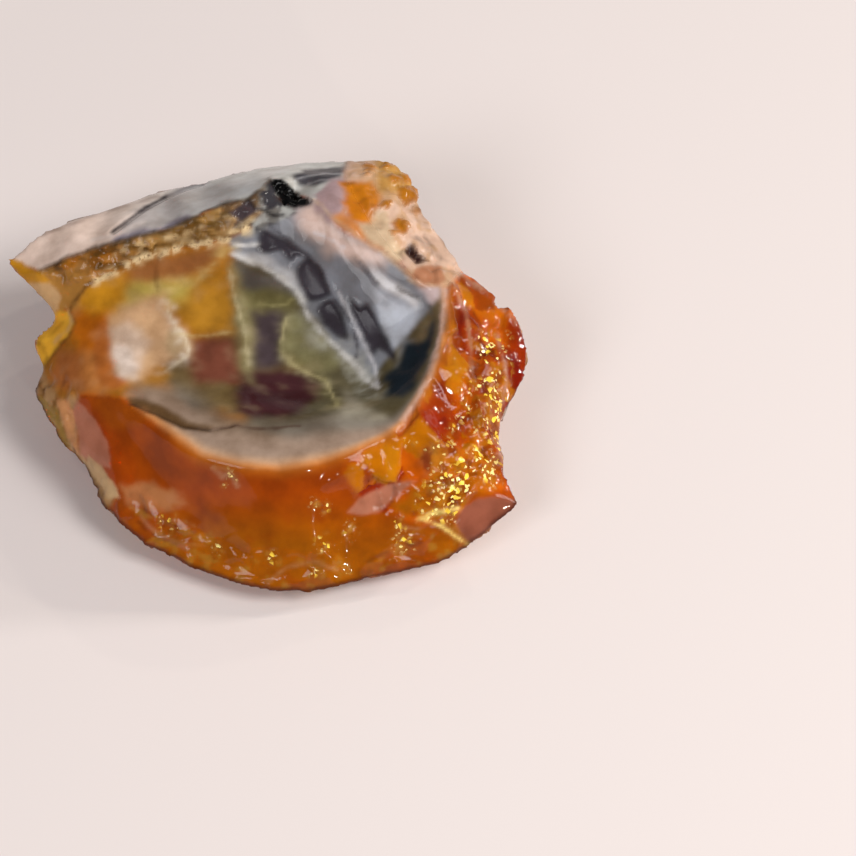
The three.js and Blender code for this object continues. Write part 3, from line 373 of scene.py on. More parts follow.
# Thin marks, each as colour, width in millimetres, strength, and line.
LINES = [
    ("D2B878", 1.0, 0.75, [(-9.9, 7.4), (-8, 8.1), (-5.8, 9), (-4.2, 10.6), (-2.8, 11.6)]),
    ("E8D8BC", 0.24, 0.6, [(-8.9, 5.9), (-8.2, 4.6), (-7.2, 3.4), (-6.9, 2.4), (-7, 1.6), (-8, 0.9),
     (-9, 0.2)]),
    ("5A3416", 0.3, 0.6, [(-9.5, 10.8), (-9.8, 9.6), (-9.9, 8.2), (-9.7, 7.6)]),
    ("B6B4A8", 1.6, 0.75, [(3.2, 5.6), (5, 3.4), (6.6, 2.1), (8.2, 0.6), (9.4, -0.8)]),
    ("CDB27C", 0.3, 0.6, [(-8, 3.8), (-6.6, 3.6), (-4.8, 3.5), (-3.2, 3.9)]),
    ("D2C49A", 0.3, 0.55, PALE_VEIN),
    ("B4AA74", 0.28, 0.55, [(-0.6, 6.3), (0.5, 6.2), (1.9, 6.4), (2.3, 6.8)]),
    ("CCC08E", 0.28, 0.65, OLIVE_VEIN),
    ("2A2420", 0.3, 0.8, [(1.3, 2.7), (1.45, 2.3)]),
    ("98905E", 0.9, 0.4, [(2.1, 6.4), (2.5, 5.5), (1.8, 2.8), (2.3, 1.6), (3.7, 0.7), (5.3, -0.5),
     (5.7, -1.3), (6.6, -2.7)]),
    ("8E8858", 0.8, 0.45, [(-1.4, 6.2), (0.6, 5.9), (2.4, 6), (3.4, 5)]),
    ("D5D2CE", 0.45, 0.9, [(-2.9, 10.8), (-0.5, 9.9), (1.1, 8.9), (2.5, 7.8), (3.4, 6.4), (4.1, 5),
     (5.3, 3.5), (6.6, 2.3), (7.8, 1.1), (9.1, -0.4), (10.1, -1.2)]),
    ("3F3B42", 0.3, 0.9, [(0.2, 13.7), (1.8, 12.3), (3.7, 10.8), (4.8, 9.8), (5.7, 7.8), (6, 7.1), (7.1, 5.7),
     (7.8, 4.3), (8.2, 2.5), (8.1, 1.6)]),
    # The next two pale streaks on the grey wall are painted reflections.
    ("CFCCD0", 0.35, 0.8, [(6.6, 7.4), (7.8, 5), (8.9, 2.5), (9.8, 0.7), (10.1, -0.9)]),
    ("E2DDE2", 0.3, 0.8, [(4.4, 12.8), (5.9, 12.1), (7.1, 11.4)]),
    ("55545A", 0.3, 0.8, [(8, 10.5), (8.7, 9.8), (9.4, 8.9), (10.1, 8.2)]),
    ("55504E", 0.3, 0.8, [(11.9, 7.8), (13.3, 7.1), (14.6, 6.4), (14.9, 5.5)]),
    # The next short pale line is a painted highlight.
    ("F4F0EC", 0.3, 0.9, [(-2.9, 11.8), (-1.8, 11.7), (-0.8, 11.8)]),
    ("E8C8A4", 0.3, 0.5, [(4.3, 15.8), (5.9, 14.3), (8.6, 12.2), (10.9, 10.6), (12.4, 9.2), (13.4, 8.2)]),
    ("E8B088", 0.3, 0.8, [(16.4, 9.8), (17.2, 7.4), (18, 5.6), (18.4, 3.1), (18.5, 0.4)]),
    # The next pink line along the right edge is partly a painted highlight.
    ("E9AE90", 0.3, 0.9, [(20.8, 3.6), (21.4, 1.3), (21.7, -0.3), (21.1, -3.1), (20.9, -6), (21.2, -8)]),
    ("EFC0A0", 0.3, 0.8, [(16.4, 9.8), (18.2, 8.6), (20.4, 6.9), (22.6, 4.6)]),
    ("8A7060", 0.3, 0.6, [(13.5, 12.4), (14.6, 11.4), (15.3, 10.7)]),
    ("7A5844", 0.25, 0.6, [(13.5, 15.3), (14.6, 14.6), (15.3, 13.3), (16.2, 11.7)]),
    ("8A6248", 0.25, 0.6, [(10.9, 10.9), (11.9, 9.9), (13, 8.7)]),
    ("6A3626", 0.25, 0.6, [(12.2, 10.9), (12.5, 9.7), (13.6, 8.7)]),
    ("B87A3C", 0.25, 0.5, [(9.4, 17.2), (9.5, 15.6), (9.9, 14), (9.2, 13.6)]),
    ("E8A868", 0.22, 0.6, [(11.8, -14.1), (12.4, -13.6), (13.7, -13.8)]),
    ("6E2A0A", 0.3, 0.6, [(12.2, -14.6), (13.1, -15.2), (14, -14.9)]),
    ("7A3408", 0.4, 0.6, [(9.4, -16.6), (10.4, -16), (11, -15.8)]),
    ("7A2E08", 0.3, 0.6, [(-11.2, -13.2), (-9.4, -14.4), (-7.4, -15.2)]),
    ("E8A868", 0.2, 0.6, [(-8.4, -12.9), (-6.8, -13.2), (-6, -13.6)]),
    ("8A7060", 0.3, 0.6, [(14.2, 12.6), (15.1, 11.4), (15.8, 10.4)]),
    ("F6B486", 0.3, 0.8, [(-4.3, -8.3), (-3.6, -9.1), (-2.9, -8.7), (-2.2, -9.9)]),
    ("F2B070", 0.3, 0.6, [(0.4, -18.5), (2.1, -17.2), (4.4, -16.6), (6.5, -17.3)]),
    ("E09C74", 0.3, 0.7, [(-10.9, -12.6), (-9.4, -14.3), (-6.8, -15.6)]),
    ("8E7268", 0.5, 0.5, [(-20.2, 12.8), (-16.2, 14.4), (-12.7, 15.5), (-10.1, 16.2)]),
    ("F2E2DA", 0.3, 0.6, [(-15.6, 12.2), (-13.8, 12.6), (-11, 13.8)]),
    ("4A2A20", 0.25, 0.7, [(-4.4, -4.9), (-2.2, -4.6), (-0.7, -4.9), (1.4, -4.8), (3.3, -4.5)]),
    ("E8A060", 0.3, 0.7, [(-4.2, -8.2), (-3, -8.4), (-2.3, -9.4)]),
    ("EAA452", 0.25, 0.7, [(-12, -11.8), (-10.2, -12.6), (-8.2, -13.3)]),
    ("EAA452", 0.25, 0.6, [(-9.8, -13.9), (-7.6, -15), (-5.4, -15.3)]),
    ("8A3A10", 0.38, 0.6, [(-10.6, -12), (-8.9, -13.2), (-7.4, -13.6)]),
    ("5E3A18", 0.33, 0.8, FLAP_EDGE),
    ("D9B078", 0.35, 0.7, [(-18.2, 6.4), (-17.5, 4.8), (-18, 3.9), (-19, 3)]),
    ("E4C0B0", 0.42, 0.9, [(16.2, 7.6), (16.1, 5.8), (15.8, 4.2), (15.3, 1.6), (14.6, -0.4), (13.4, -2.6),
     (12.4, -4)]),
    ("94661C", 0.28, 0.7, [(-21.2, 3), (-20.4, 2.9), (-19.8, 1.6), (-20.2, 0.8)]),
    ("B8801E", 0.26, 0.6, [(-20.6, 3.4), (-19.4, 3.6), (-18.4, 4.8)]),
]

# The golden seams beside the facet at the lower right, painted glints, all of one width in millimetres.
GOLDEN_GLINT_SEAMS = [
    [(14.6, -13), (15.8, -13.6), (16.9, -14.3), (18, -14.9)],
    [(14.1, -12.8), (15.5, -12.2), (17.2, -11.9)],
    [(13.8, -12.9), (14.6, -12.6)],
]
SEAM_WIDTH = 0.4

# Odd numbers that turn a cell's place and a seed into random numbers.
CELL_FACTORS = np.array([73856093, 19349663, 83492791])
SEED_FACTOR = 1013904223
DRAW_STEP = 0x9E3779B97F4A7C15
SCRAMBLERS = ((30, 0xBF58476D1CE4E5B9), (27, 0x94D049BB133111EB))

# How strong each finer layer of noise is beside the one before, and how far the whole is raised.
LAYER_SHARE = 0.62
NOISE_GAIN = 1.4


def srgb(code):
    """Linear colour of a six-digit hexadecimal code."""
    parts = [int(code[i:i + 2], 16) / 255 for i in (0, 2, 4)]
    return np.array([c / 12.92 if c <= 0.04045 else ((c + 0.055) / 1.055) ** 2.4 for c in parts])


def smoothstep(low, high, x):
    """0 below low, 1 above high and a soft step between. With low above high it runs the other way."""
    t = np.clip((x - low) / (high - low), 0, 1)
    return t * t * (3 - 2 * t)


def distance_to_line(points, line):
    """How far each drawn point lies from a polyline, counted up to FAR."""
    line = np.array(line)
    near = np.all((points > line.min(axis=0) - FAR) & (points < line.max(axis=0) + FAR), axis=1)
    x, y = points[near].T
    nearest = np.full(len(x), FAR)
    for (x1, y1), (x2, y2) in zip(line[:-1], line[1:]):
        dx, dy = x2 - x1, y2 - y1
        t = np.clip(((x - x1) * dx + (y - y1) * dy) / max(dx * dx + dy * dy, TINY), 0, 1)
        nearest = np.minimum(nearest, np.hypot(x - x1 - t * dx, y - y1 - t * dy))
    distance = np.full(len(points), FAR)
    distance[near] = nearest
    return distance


def inside(points, outline):
    """Signed distance to a closed outline, positive inside it."""
    x, y = points.T
    closed = outline + outline[:1]
    within = np.zeros(len(points), bool)
    for (x1, y1), (x2, y2) in zip(closed[:-1], closed[1:]):
        crosses = (y1 > y) != (y2 > y)
        within ^= crosses & (x < x1 + (x2 - x1) * (y - y1) / ((y2 - y1) or TINY))
    distance = distance_to_line(points, closed)
    return np.where(within, distance, -distance)


def hashed(cells, seed, count):
    """Random numbers from 0 to 1 that depend only on each whole-numbered cell and the seed."""
    mixed_up = (cells @ CELL_FACTORS + seed * SEED_FACTOR).astype(np.uint64)
    numbers = []
    for k in range(count):
        h = mixed_up + np.uint64(DRAW_STEP * (k + 1) % 2 ** 64)
        for shift, factor in SCRAMBLERS:
            h = (h ^ (h >> np.uint64(shift))) * np.uint64(factor)
        numbers.append(((h ^ (h >> np.uint64(31))) >> np.uint64(11)).astype(np.float64) / 2 ** 53)
    return np.stack(numbers, axis=1)


def gradient_noise(points, seed):
    """Smooth noise, about -1 to 1, one bump to a unit."""
    cells = np.floor(points).astype(np.int64)
    part = points - cells
    ease = part ** 3 * (part * (part * 6 - 15) + 10)
    total = np.zeros(len(points))
    for corner_at in np.ndindex(2, 2, 2):
        corner_at = np.array(corner_at)
        slope = 2 * hashed(cells + corner_at, seed, 3) - 1
        weight = np.prod(np.where(corner_at == 1, ease, 1 - ease), axis=1)
        total += weight * np.sum(slope * (part - corner_at), axis=1)
    return total


def field(points, scale, seed, octaves=3):
    """A noise value from about -1 to 1 at each point, with features of about scale millimetres."""
    layers = [
        LAYER_SHARE ** k * gradient_noise(points / scale * 2 ** k, seed * 17 + k) for k in range(octaves)
    ]
    return NOISE_GAIN * sum(layers)


class Surface:
    """The stone's fine mesh as arrays, in millimetres."""

    def __init__(self, mesh):
        self.mesh = mesh
        count = len(mesh.vertices)
        self.points = np.empty(count * 3, np.float64)
        mesh.vertices.foreach_get("co", self.points)
        self.points = self.points.reshape(-1, 3) / MM
        edges = np.empty(len(mesh.edges) * 2, np.int64)
        mesh.edges.foreach_get("vertices", edges)
        edges = edges.reshape(-1, 2)
        both = np.concatenate([edges, edges[:, ::-1]])
        self.ends, self.starts = both[:, 0], both[:, 1]
        self.degree = np.bincount(self.ends, minlength=count)[:, None]

    def mean_around(self, values):
        """The mean of each point's neighbours."""
        sums = [
            np.bincount(self.ends, weights=values[self.starts, k], minlength=len(values))
            for k in range(values.shape[1])
        ]
        return np.stack(sums, axis=1) / self.degree

    def smooth(self, weight, passes):
        for _ in range(passes):
            self.points += weight[:, None] * (self.mean_around(self.points) - self.points)

    def store(self):
        self.mesh.vertices.foreach_set("co", (self.points * MM).astype(np.float32).ravel())
        self.mesh.update()

    def normals(self):
        self.store()
        found = np.empty(len(self.points) * 3, np.float32)
        self.mesh.vertex_normals.foreach_get("vector", found)
        return found.reshape(-1, 3).astype(np.float64)

    def drawn(self):
        """Where each point lies in the drawing."""
        placed = self.points - DRAWN_ORIGIN
        return np.stack([placed @ RIGHT, placed @ UP], axis=1)

    def write(self, name, values):
        """Keeps one number or one colour for each point."""
        if values.ndim == 1:
            kept = self.mesh.attributes.new(name, "FLOAT", "POINT")
            kept.data.foreach_set("value", values.astype(np.float32))
            return
        rgba = np.concatenate([values, np.ones((len(values), 1))], axis=1).astype(np.float32)
        self.mesh.attributes.new(name, "FLOAT_COLOR", "POINT").data.foreach_set("color", rgba.ravel())


def fine_copy(node, name):
    """A finely and evenly meshed copy of a CAD node."""
    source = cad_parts[node]
    piece = bpy.data.objects.new(name, source.data.copy())
    bpy.context.scene.collection.objects.link(piece)
    remesh = piece.modifiers.new("even mesh", "REMESH")
    remesh.mode = "VOXEL"
    remesh.voxel_size = STONE_VOXEL * MM
    evaluated = piece.evaluated_get(bpy.context.evaluated_depsgraph_get())
    piece.data = bpy.data.meshes.new_from_object(evaluated)
    piece.modifiers.clear()
    piece.data.materials.clear()
    piece.data.name = name
    return piece


stone = fine_copy("rough_opal", "opal_stone")
surface = Surface(stone.data)


def facets(cell, seed, stretch=1.0):
    """Splits the stone into cells about cell millimetres wide.

    Gives each point's place from its cell's centre and four random numbers of that cell. A stretch above 1
    makes the cells that many times longer along SPLINTERS.
    """
    along = surface.points @ SPLINTERS
    squeezed = (surface.points - np.outer(along * (1 - 1 / stretch), SPLINTERS)) / cell
    home = np.floor(squeezed).astype(np.int64)
    nearest = np.full(len(home), np.inf)
    centre, chosen = np.zeros_like(squeezed), home.copy()
    for offset in np.ndindex(3, 3, 3):
        cells = home + np.array(offset) - 1
        at = cells + hashed(cells, seed, 3)
        distance = np.linalg.norm(squeezed - at, axis=1)
        closer = distance < nearest
        nearest[closer], centre[closer], chosen[closer] = distance[closer], at[closer], cells[closer]
    return (squeezed - centre) * cell, hashed(chosen, seed + 100, 4)


def broken(split, tilt, step):
    """How far each point moves so that every cell becomes a small flat facet of its own tilt and height."""
    place, random = split
    lean = 2 * random[:, :3] - 1
    lean -= np.sum(lean * normals, axis=1)[:, None] * normals
    return np.sum(place * lean, axis=1) * tilt + (random[:, 3] - 0.5) * step


def bumps(points, spots):
    """Height of round nodules above the surface. Each spot is across, up, radius and height."""
    height = np.zeros(len(points))
    for x, y, radius, tall in spots:
        share = np.linalg.norm(points - np.array([x, y]), axis=1) / radius
        height = np.maximum(height, tall * np.sqrt(np.clip(1 - share ** 2, 0, 1)))
    return height


def crack(line, width):
    """Depth of a narrow groove along a line."""
    share = distance_to_line(drawn, line) / width
    return upper * CRACK_DEPTH * np.clip(1 - share, 0, 1) ** 1.5


def region(outline, low, high):
    """Mask of an outline on the upper side, which sets in from low to high millimetres inside it."""
    return upper * smoothstep(low, high, inside(drawn, outline))


def wander(scale, *seeds):
    """A random shift across and up at each point, with features of about scale millimetres."""
    return np.stack([field(surface.points, scale, seed) for seed in seeds], axis=1)


# Which side each point is on, and which part of the stone it belongs to.
drawn = surface.drawn()
facing = surface.normals() @ TOWARDS
upper = smoothstep(-0.4, -0.2, facing)
under = 1 - upper
resting = surface.points[:, 2] < RESTING_BELOW
free = np.where(resting, 0, 1)
flank = region(FLANK, -0.3, 0.3)
corner = region(CORNER, -0.3, 0.3)
ledge = region(LEDGE, -0.25, 0.25)
strip = region(FOOT_STRIP, -1.6, 1.2)
left_crust = region(LEFT_CRUST, -0.3, 0.3)
in_hollow = region(HOLLOW, -0.1, 0.5)
glassy = upper * (1 - flank) * (1 - corner)

# The hollow is smoothed most, then the other glassy parts and round the pit, and then all a little.
surface.smooth(free * 0.6 * in_hollow, passes=30)
surface.smooth(free * 0.5 * np.maximum(glassy, in_hollow), passes=6)
surface.smooth(free * 0.6 * region(PIT, -1.0, -0.4), passes=12)
surface.smooth(free * 0.4, passes=2)

drawn = surface.drawn()
normals = surface.normals()
frosting = field(surface.points, 7.0, 3) + 0.3 * field(surface.points, 1.2, 10)
rough_parts = under * smoothstep(-0.1, 0.5, frosting)
in_glitter = flank * smoothstep(-1.0, 1.0, inside(drawn, GLITTER))
splinters = facets(cell=3.6, seed=1, stretch=2.0)
chips = facets(cell=1.4, seed=2, stretch=1.6)
sparks = facets(cell=0.75, seed=25)
crumbs = facets(cell=1.0, seed=4)

# The relief: broken surfaces, each as where they lie, their cells, and the tilt and step of their facets.
shift = np.zeros(len(drawn))
for where, split, tilt, step in (
    (flank, splinters, 0.2, 0.3),
    (flank * (0.3 + 0.5 * in_glitter), chips, 0.3, 0.12),
    (in_glitter, sparks, 0.25, 0.08),
    (corner, facets(cell=2.4, seed=3), 0.14, 0.16),
    (np.maximum(ledge, 0.5 * left_crust), crumbs, 0.45, 0.4),
    (strip, facets(cell=2.6, seed=5, stretch=0.7), 0.15, 0.12),
    (under, facets(cell=5.0, seed=6), 0.1, 0.12),
    (under * rough_parts, facets(cell=1.5, seed=7), 0.2, 0.12),
    (region(PIT, -0.2, 0.3), crumbs, 0.7, 0.3),
):
    shift += where * broken(split, tilt, step)
shift += GRAIN_HEIGHT * corner * field(surface.points, 0.8, 31)
shift += GRAIN_HEIGHT * strip * field(surface.points, 1.2, 9)

# Then the nodules and the hole of the corner, the two cracks, and the flakes and ripples of the wall.
knobbly = drawn + 0.35 * wander(0.9, 33, 34)
shift += corner * bumps(knobbly, NODULES)
shift -= HOLE_DEPTH * region(HOLE, -0.1, 0.5)
shift -= crack(CREASE, CREASE_WIDTH) + crack(CREVICE_LINE, CREVICE_WIDTH)
for flake in WALL_FLAKES:
    shift -= FLAKE_DEPTH * region(flake, -0.12, 0.35)
from_centre = np.linalg.norm(drawn - RIPPLE_CENTRE, axis=1) + field(surface.points, 6.0, 8)
ripples = np.sin(2 * math.pi * from_centre / RIPPLE_LENGTH)
shift += RIPPLE_HEIGHT * region(WALL, 0, 1.0) * ripples

# The surface moves by that much, and stays above the floor and inside the solid's box.
surface.points += (free * np.clip(shift, -HIGHEST_RELIEF, HIGHEST_RELIEF))[:, None] * normals
height = surface.points[:, 2]
surface.points[:, 2] = np.where(resting, height, np.maximum(height, FLOOR_GAP))
surface.smooth(free * (0.35 - 0.15 * flank), passes=1)
surface.points = np.clip(surface.points, np.array(cad_box[0]) / MM, np.array(cad_box[1]) / MM)
surface.store()

# Where each point lies in the drawing, plainly and with random shifts that keep edges from being straight.
drawn = surface.drawn()
across, up = drawn.T
warp = wander(4.0, 11, 12)
fine_warp = wander(1.4, 13, 14)
warped = drawn + 0.5 * warp + 0.2 * fine_warp
lightly_warped = drawn + 0.12 * fine_warp + 0.08 * warp
wisps = field(surface.points * np.array([1.0, 1.0, 2.5]), 2.4, 15, 5)

colour = np.tile(srgb(BODY_COLOUR), (len(drawn), 1))
clearness = np.full(len(drawn), BODY_CLEARNESS)
roughness = np.full(len(drawn), BODY_ROUGHNESS)


def paint(mask, code, clear=None, rough=None):
    """Lays a colour over part of the stone, and may set how clear and how rough that part is."""
    colour[:] += mask[:, None] * (srgb(code) - colour)
    if clear is not None:
        clearness[:] += mask * (clear - clearness)
    if rough is not None:
        roughness[:] += mask * (rough - roughness)


def zone(outline, fade, points=None):
    """Mask of an outline in the drawing, on the upper side only."""
    if points is None:
        points = warped if fade > SOFT_FROM else lightly_warped
    return upper * smoothstep(-fade, fade, inside(points, outline) + 0.5 * fade * wisps)


def streak(line, width, points=None):
    """Mask of a soft line that thins, thickens and fades."""
    reach = width * np.clip(1 + 0.5 * wisps, 0.4, 1.6)
    distance = distance_to_line(lightly_warped if points is None else points, line)
    return upper * smoothstep(1, 0, distance / reach)


def lay(marks, limit=1.0):
    for code, clear, fade, outline in marks:
        paint(limit * zone(outline, fade), code, clear)


def blend_colours(mask, passes):
    """Lets the colours of neighbouring points run into each other."""
    for _ in range(passes):
        colour[:] += 0.6 * mask[:, None] * (surface.mean_around(colour) - colour)


def patches(scale, seed, fade):
    """Mask of random patches of about scale millimetres, which sets in between two values of the noise."""
    return smoothstep(*fade, field(surface.points, scale, seed))


def chosen_cells(split, low, high):
    """Mask of the cells whose random number lies from low to high."""
    return ((split[1][:, 0] >= low) & (split[1][:, 0] < high)).astype(float)


def within_outline():
    """How far each drawn point lies inside the stone's outline, by the outermost point at each degree."""
    turn = np.degrees(np.arctan2(up, across)) % 360
    reach = np.hypot(across, up)
    furthest = np.zeros(360)
    np.maximum.at(furthest, turn.astype(int), reach)
    return np.interp(turn, np.arange(361) + 0.5, np.append(furthest, furthest[0])) - reach


def paint_front():
    paint(upper * smoothstep(-10.0, -16.0, up), "D27400", clear=0.5)
    paint(upper * patches(4.0, 16, (0.0, 0.6)) * 0.6, "C45000")
    paint(strip * patches(3.0, 17, (0.0, 0.5)) * 0.5, "A85408", clear=0.6)
    paint(strip * patches(1.4, 20, (0.2, 0.5)) * 0.7, "F0AC38", clear=0.6)
    lay(FRONT_MARKS)
    # Painted shade on the steep low sides of the front, near the floor.
    low_side_shade = smoothstep(0.5, 0.15, facing) * smoothstep(4.0, 2.5, surface.points[:, 2])
    paint(upper * low_side_shade * 0.85, "4A1C0C", clear=0.3)
    paint(left_crust, "BC9262", clear=0.2, rough=0.25)
    paint(left_crust * patches(1.2, 18, (0.0, 0.4)), "8A5E30", clear=0.2, rough=0.25)
    paint(left_crust * patches(1.6, 19, (0.1, 0.3)) * smoothstep(-17.5, -16.0, across), "DCC294")


def paint_flank():
    paint(flank, "FF7600", clear=0.5, rough=0.04)
    paint(flank * chosen_cells(splinters, 0.0, 0.25), "C83800", clear=0.5)
    paint(flank * chosen_cells(splinters, 0.7, 1.0), "FA9000", clear=0.5)
    lay(FLANK_MARKS, 0.85)
    paint(flank * chosen_cells(chips, 0.0, 0.2) * 0.6, "8E1A00")
    paint(flank * chosen_cells(chips, 0.8, 1.0) * 0.6, "F29A10")
    paint(in_glitter * 0.4, "E47400")
    paint(in_glitter * chosen_cells(sparks, 0.0, 0.25) * 0.6, "7A1800")
    # Painted glints: the brightest spark cells of the glitter column.
    paint(in_glitter * chosen_cells(sparks, 0.75, 1.0) * 0.5, "F2A414")


def paint_hollow():
    in_side = upper * smoothstep(-0.4, 0.0, inside(lightly_warped, HOLLOW))
    paint(in_side, "B4741C", clear=0.2, rough=0.04)
    lay(BOWL_MARKS, in_side)
    blend_colours(in_side, passes=4)
    lay(MILK_MARKS, 0.9)
    crumbly = field(surface.points, 0.62, 48, 2)
    for vein, width, pale, dark in CRUMBLY_VEINS:
        along = streak(vein, width)
        paint(along * smoothstep(0.1, 0.35, crumbly) * 0.75, pale)
        paint(along * smoothstep(-0.15, -0.4, crumbly) * 0.7, dark)
    clouds = field(surface.points, 1.8, 46, 4)
    paint(in_side * smoothstep(0.1, 0.7, clouds) * 0.12, "D0B890")
    paint(in_side * smoothstep(-0.1, -0.7, clouds) * 0.2, "2E2018")


def paint_wall():
    """The grey glassy wall at the back right of the hollow, with dark sunken flakes."""
    wall = zone(WALL, 0.2)
    for grey in (streak(WALL_TOP, 0.7, drawn), wall):
        paint(grey, "7E8087", clear=0.08, rough=0.03)
    lay(WALL_MARKS, np.maximum(wall, zone(DARK_CORNER, 0.4)))
    for flake in WALL_FLAKES:
        sunken = zone(flake, 0.1)
        paint(sunken, "38333A", clear=0.08, rough=0.2)
        paint(sunken * smoothstep(0.45, 0.1, inside(lightly_warped, flake)) * 0.6, "241F24")


def paint_rim():
    """The cream band inside the rim: wide at the front, a thin line on the right, gone at the far left."""
    smooth_drawn = drawn + 0.12 * warp
    from_edge = inside(smooth_drawn, HOLLOW)
    by_rim = distance_to_line(smooth_drawn, OUTER_RIM)
    width = 0.6 + 2.7 * smoothstep(13.5, 4.0, across) * smoothstep(-14.0, -6.0, across)
    band = upper * smoothstep(-0.15, 0.1, from_edge) * smoothstep(-13.5, -10.0, across)
    paint(band * smoothstep(1.5, 0.9, by_rim / width) * 0.8, "80766C", clear=0.12, rough=0.04)
    paint(band * smoothstep(1.0, 0.5, by_rim / width), "A8907E", clear=0.12, rough=0.04)
    paint(band * smoothstep(0.7, 0.3, by_rim / (0.3 + 0.4 * width)), "D6AE8C", clear=0.15, rough=0.05)
    paint(band * smoothstep(0.6, 0.1, by_rim), "E29654", clear=0.2, rough=0.05)
    outside = upper * smoothstep(0.15, -0.15, from_edge) * smoothstep(1.3, 0.1, by_rim)
    paint(outside * smoothstep(-10, -6, across) * 0.7, "DC7A20", clear=0.35)
    paint(zone(CREVICE, 0.15), "6A4E30", clear=0.15, rough=0.1)
    blend_colours(upper * smoothstep(-1.0, 0.0, from_edge), passes=2)
    paint(streak(CREVICE_SHADOW, 0.25, drawn) * 0.8, "30201A")


def paint_slope():
    slope = zone(SLOPE, 0.15)
    # The slope's pale pink and grey are its colour lightened by a painted sheen.
    paint(slope, "FCE2D2", clear=0.12, rough=0.08)
    paint(slope * smoothstep(-17, -4, warped[:, 0]), "D4D4D0", clear=0.12, rough=0.05)
    paint(slope * zone(GREY_SLOPE, 0.5) * 0.5, "A6A4A8")
    paint(slope * streak(BELOW_CREASE, 0.7), "8A8290")
    # Painted shade in the crease: a grey line along it and a darker one along its deepest part.
    paint(streak(CREASE, CREASE_WIDTH, drawn) * 0.7, "5E545A")
    paint(streak(CREASE_SHADE_LINE, 0.34, drawn), "1C161C")
    paint(zone(DARK_END, 0.25), "4A484E")
    paint(streak(DARK_END_LINE, 0.16), "9A9A9E")
    paint(streak(LOW_DARK_END_LINE, 0.14), "8E8C90")
    paint(zone(RED_END, 0.1), "6E1410")


def paint_corner():
    paint(corner, "E6C2AA", clear=0.25, rough=0.3)
    top_right = smoothstep(15.5, 17.0, up) * smoothstep(9.0, 10.5, across)
    paint(corner * top_right, "DCA658", clear=0.35, rough=0.25)
    paint(corner * patches(1.6, 32, (0.0, 0.3)) * 0.7, "CFA274")
    paint(zone(BESIDE_NODULE, 0.35), "AE9496", clear=0.12, rough=0.1)
    lay(CORNER_MARKS)
    paint(corner * smoothstep(0.02, 0.3, bumps(knobbly, NODULES)), "D4861E", clear=0.45, rough=0.12)
    # The hole is painted dark as painted shade of its depth.
    paint(zone(HOLE, 0.15), "2E1414", clear=0.1, rough=0.2)


def paint_ledge():
    """The crumbly ledge, in thin layers that dip to the left."""
    layers = field(np.stack([0.35 * across, up - 0.27 * across, surface.points[:, 2]], axis=1), 1.0, 45)
    paint(ledge, "7C5820", clear=0.15, rough=0.3)
    paint(ledge * smoothstep(-9.0, -14.0, across) * 0.85, "C27A22", clear=0.35, rough=0.12)
    paint(ledge * smoothstep(-5.0, -2.0, across) * 0.8, "5C5454")
    paint(ledge * chosen_cells(crumbs, 0.0, 0.3) * 0.6, "5E401A")
    paint(ledge * chosen_cells(crumbs, 0.7, 1.0) * 0.4, "C09458")
    paint(ledge * smoothstep(0.1, 0.4, layers) * 0.7, "5A421C")
    paint(ledge * smoothstep(-0.2, -0.5, layers) * 0.5, "CDA468")
    foot = streak(LEDGE_FOOT[2:-1], 0.8, drawn) * patches(0.8, 42, (-0.25, 0.1))
    paint(foot, "EDD2A2", clear=0.1, rough=0.5)
    seam = streak(LEDGE_SEAM, 0.5) * patches(0.9, 44, (-0.1, 0.3))
    paint(seam * 0.8, "DDBE8C", clear=0.1, rough=0.5)
    paint(streak(CREST[1:], 0.4) * 0.8, "40382C", clear=0.1, rough=0.4)


def paint_pit():
    beside = zone(BESIDE_PIT, 0.25)
    paint(beside, "74726E", clear=0.1, rough=0.08)
    paint(beside * chosen_cells(crumbs, 0.0, 0.25), "3A383C")
    paint(beside * chosen_cells(crumbs, 0.6, 1.0), "A6A6A2")
    paint(zone(PLUM_BLOCK, 0.2), "4A4044", clear=0.1, rough=0.1)
    paint(streak(BELOW_PIT, 0.35), "1C1A1E")
    # The pit is painted near black as painted shade of its depth.
    paint(zone(PIT, 0.12, drawn), "060607", clear=0.05, rough=0.12)


def paint_foot_shade():
    """Painted shade: a dark line along the foot of the front, wider towards the viewer."""
    width = 0.3 + 0.3 * smoothstep(-8.0, -15.0, up)
    foot_shade = smoothstep(1.0, 0.3, within_outline() / width) * smoothstep(1.0, -3.0, up)
    paint(upper * foot_shade * 0.85, "48160A", clear=0.2)


def paint_glints():
    """Painted glints: paler spots along the front, where flecks gather. Gives their mask."""
    spots = [
        smoothstep(1.2, 0.4, np.linalg.norm(warped - np.array([x, y]), axis=1) / radius)
        for x, y, radius in GLINTS
    ]
    glint = upper * np.max(spots, axis=0) * patches(1.2, 60, (-0.3, 0.2))
    paint(glint * patches(0.7, 61, (0.0, 0.4)) * 0.7, "F8B850")
    return glint


def paint_lines():
    uneven = patches(0.9, 47, (-0.35, 0.15))
    for code, width, strength, line in LINES:
        if width > BLURRED_FROM:
            paint(streak(line, width, warped) * strength * (0.2 + 0.6 * smoothstep(-0.3, 0.4, wisps)), code)
        else:
            paint(streak(line, width) * strength * (0.5 + 0.5 * uneven), code)
    # Golden seams painted as glints.
    for seam in GOLDEN_GLINT_SEAMS:
        paint(streak(seam, SEAM_WIDTH) * (0.4 + 0.6 * uneven), "FFE486", clear=0.05)


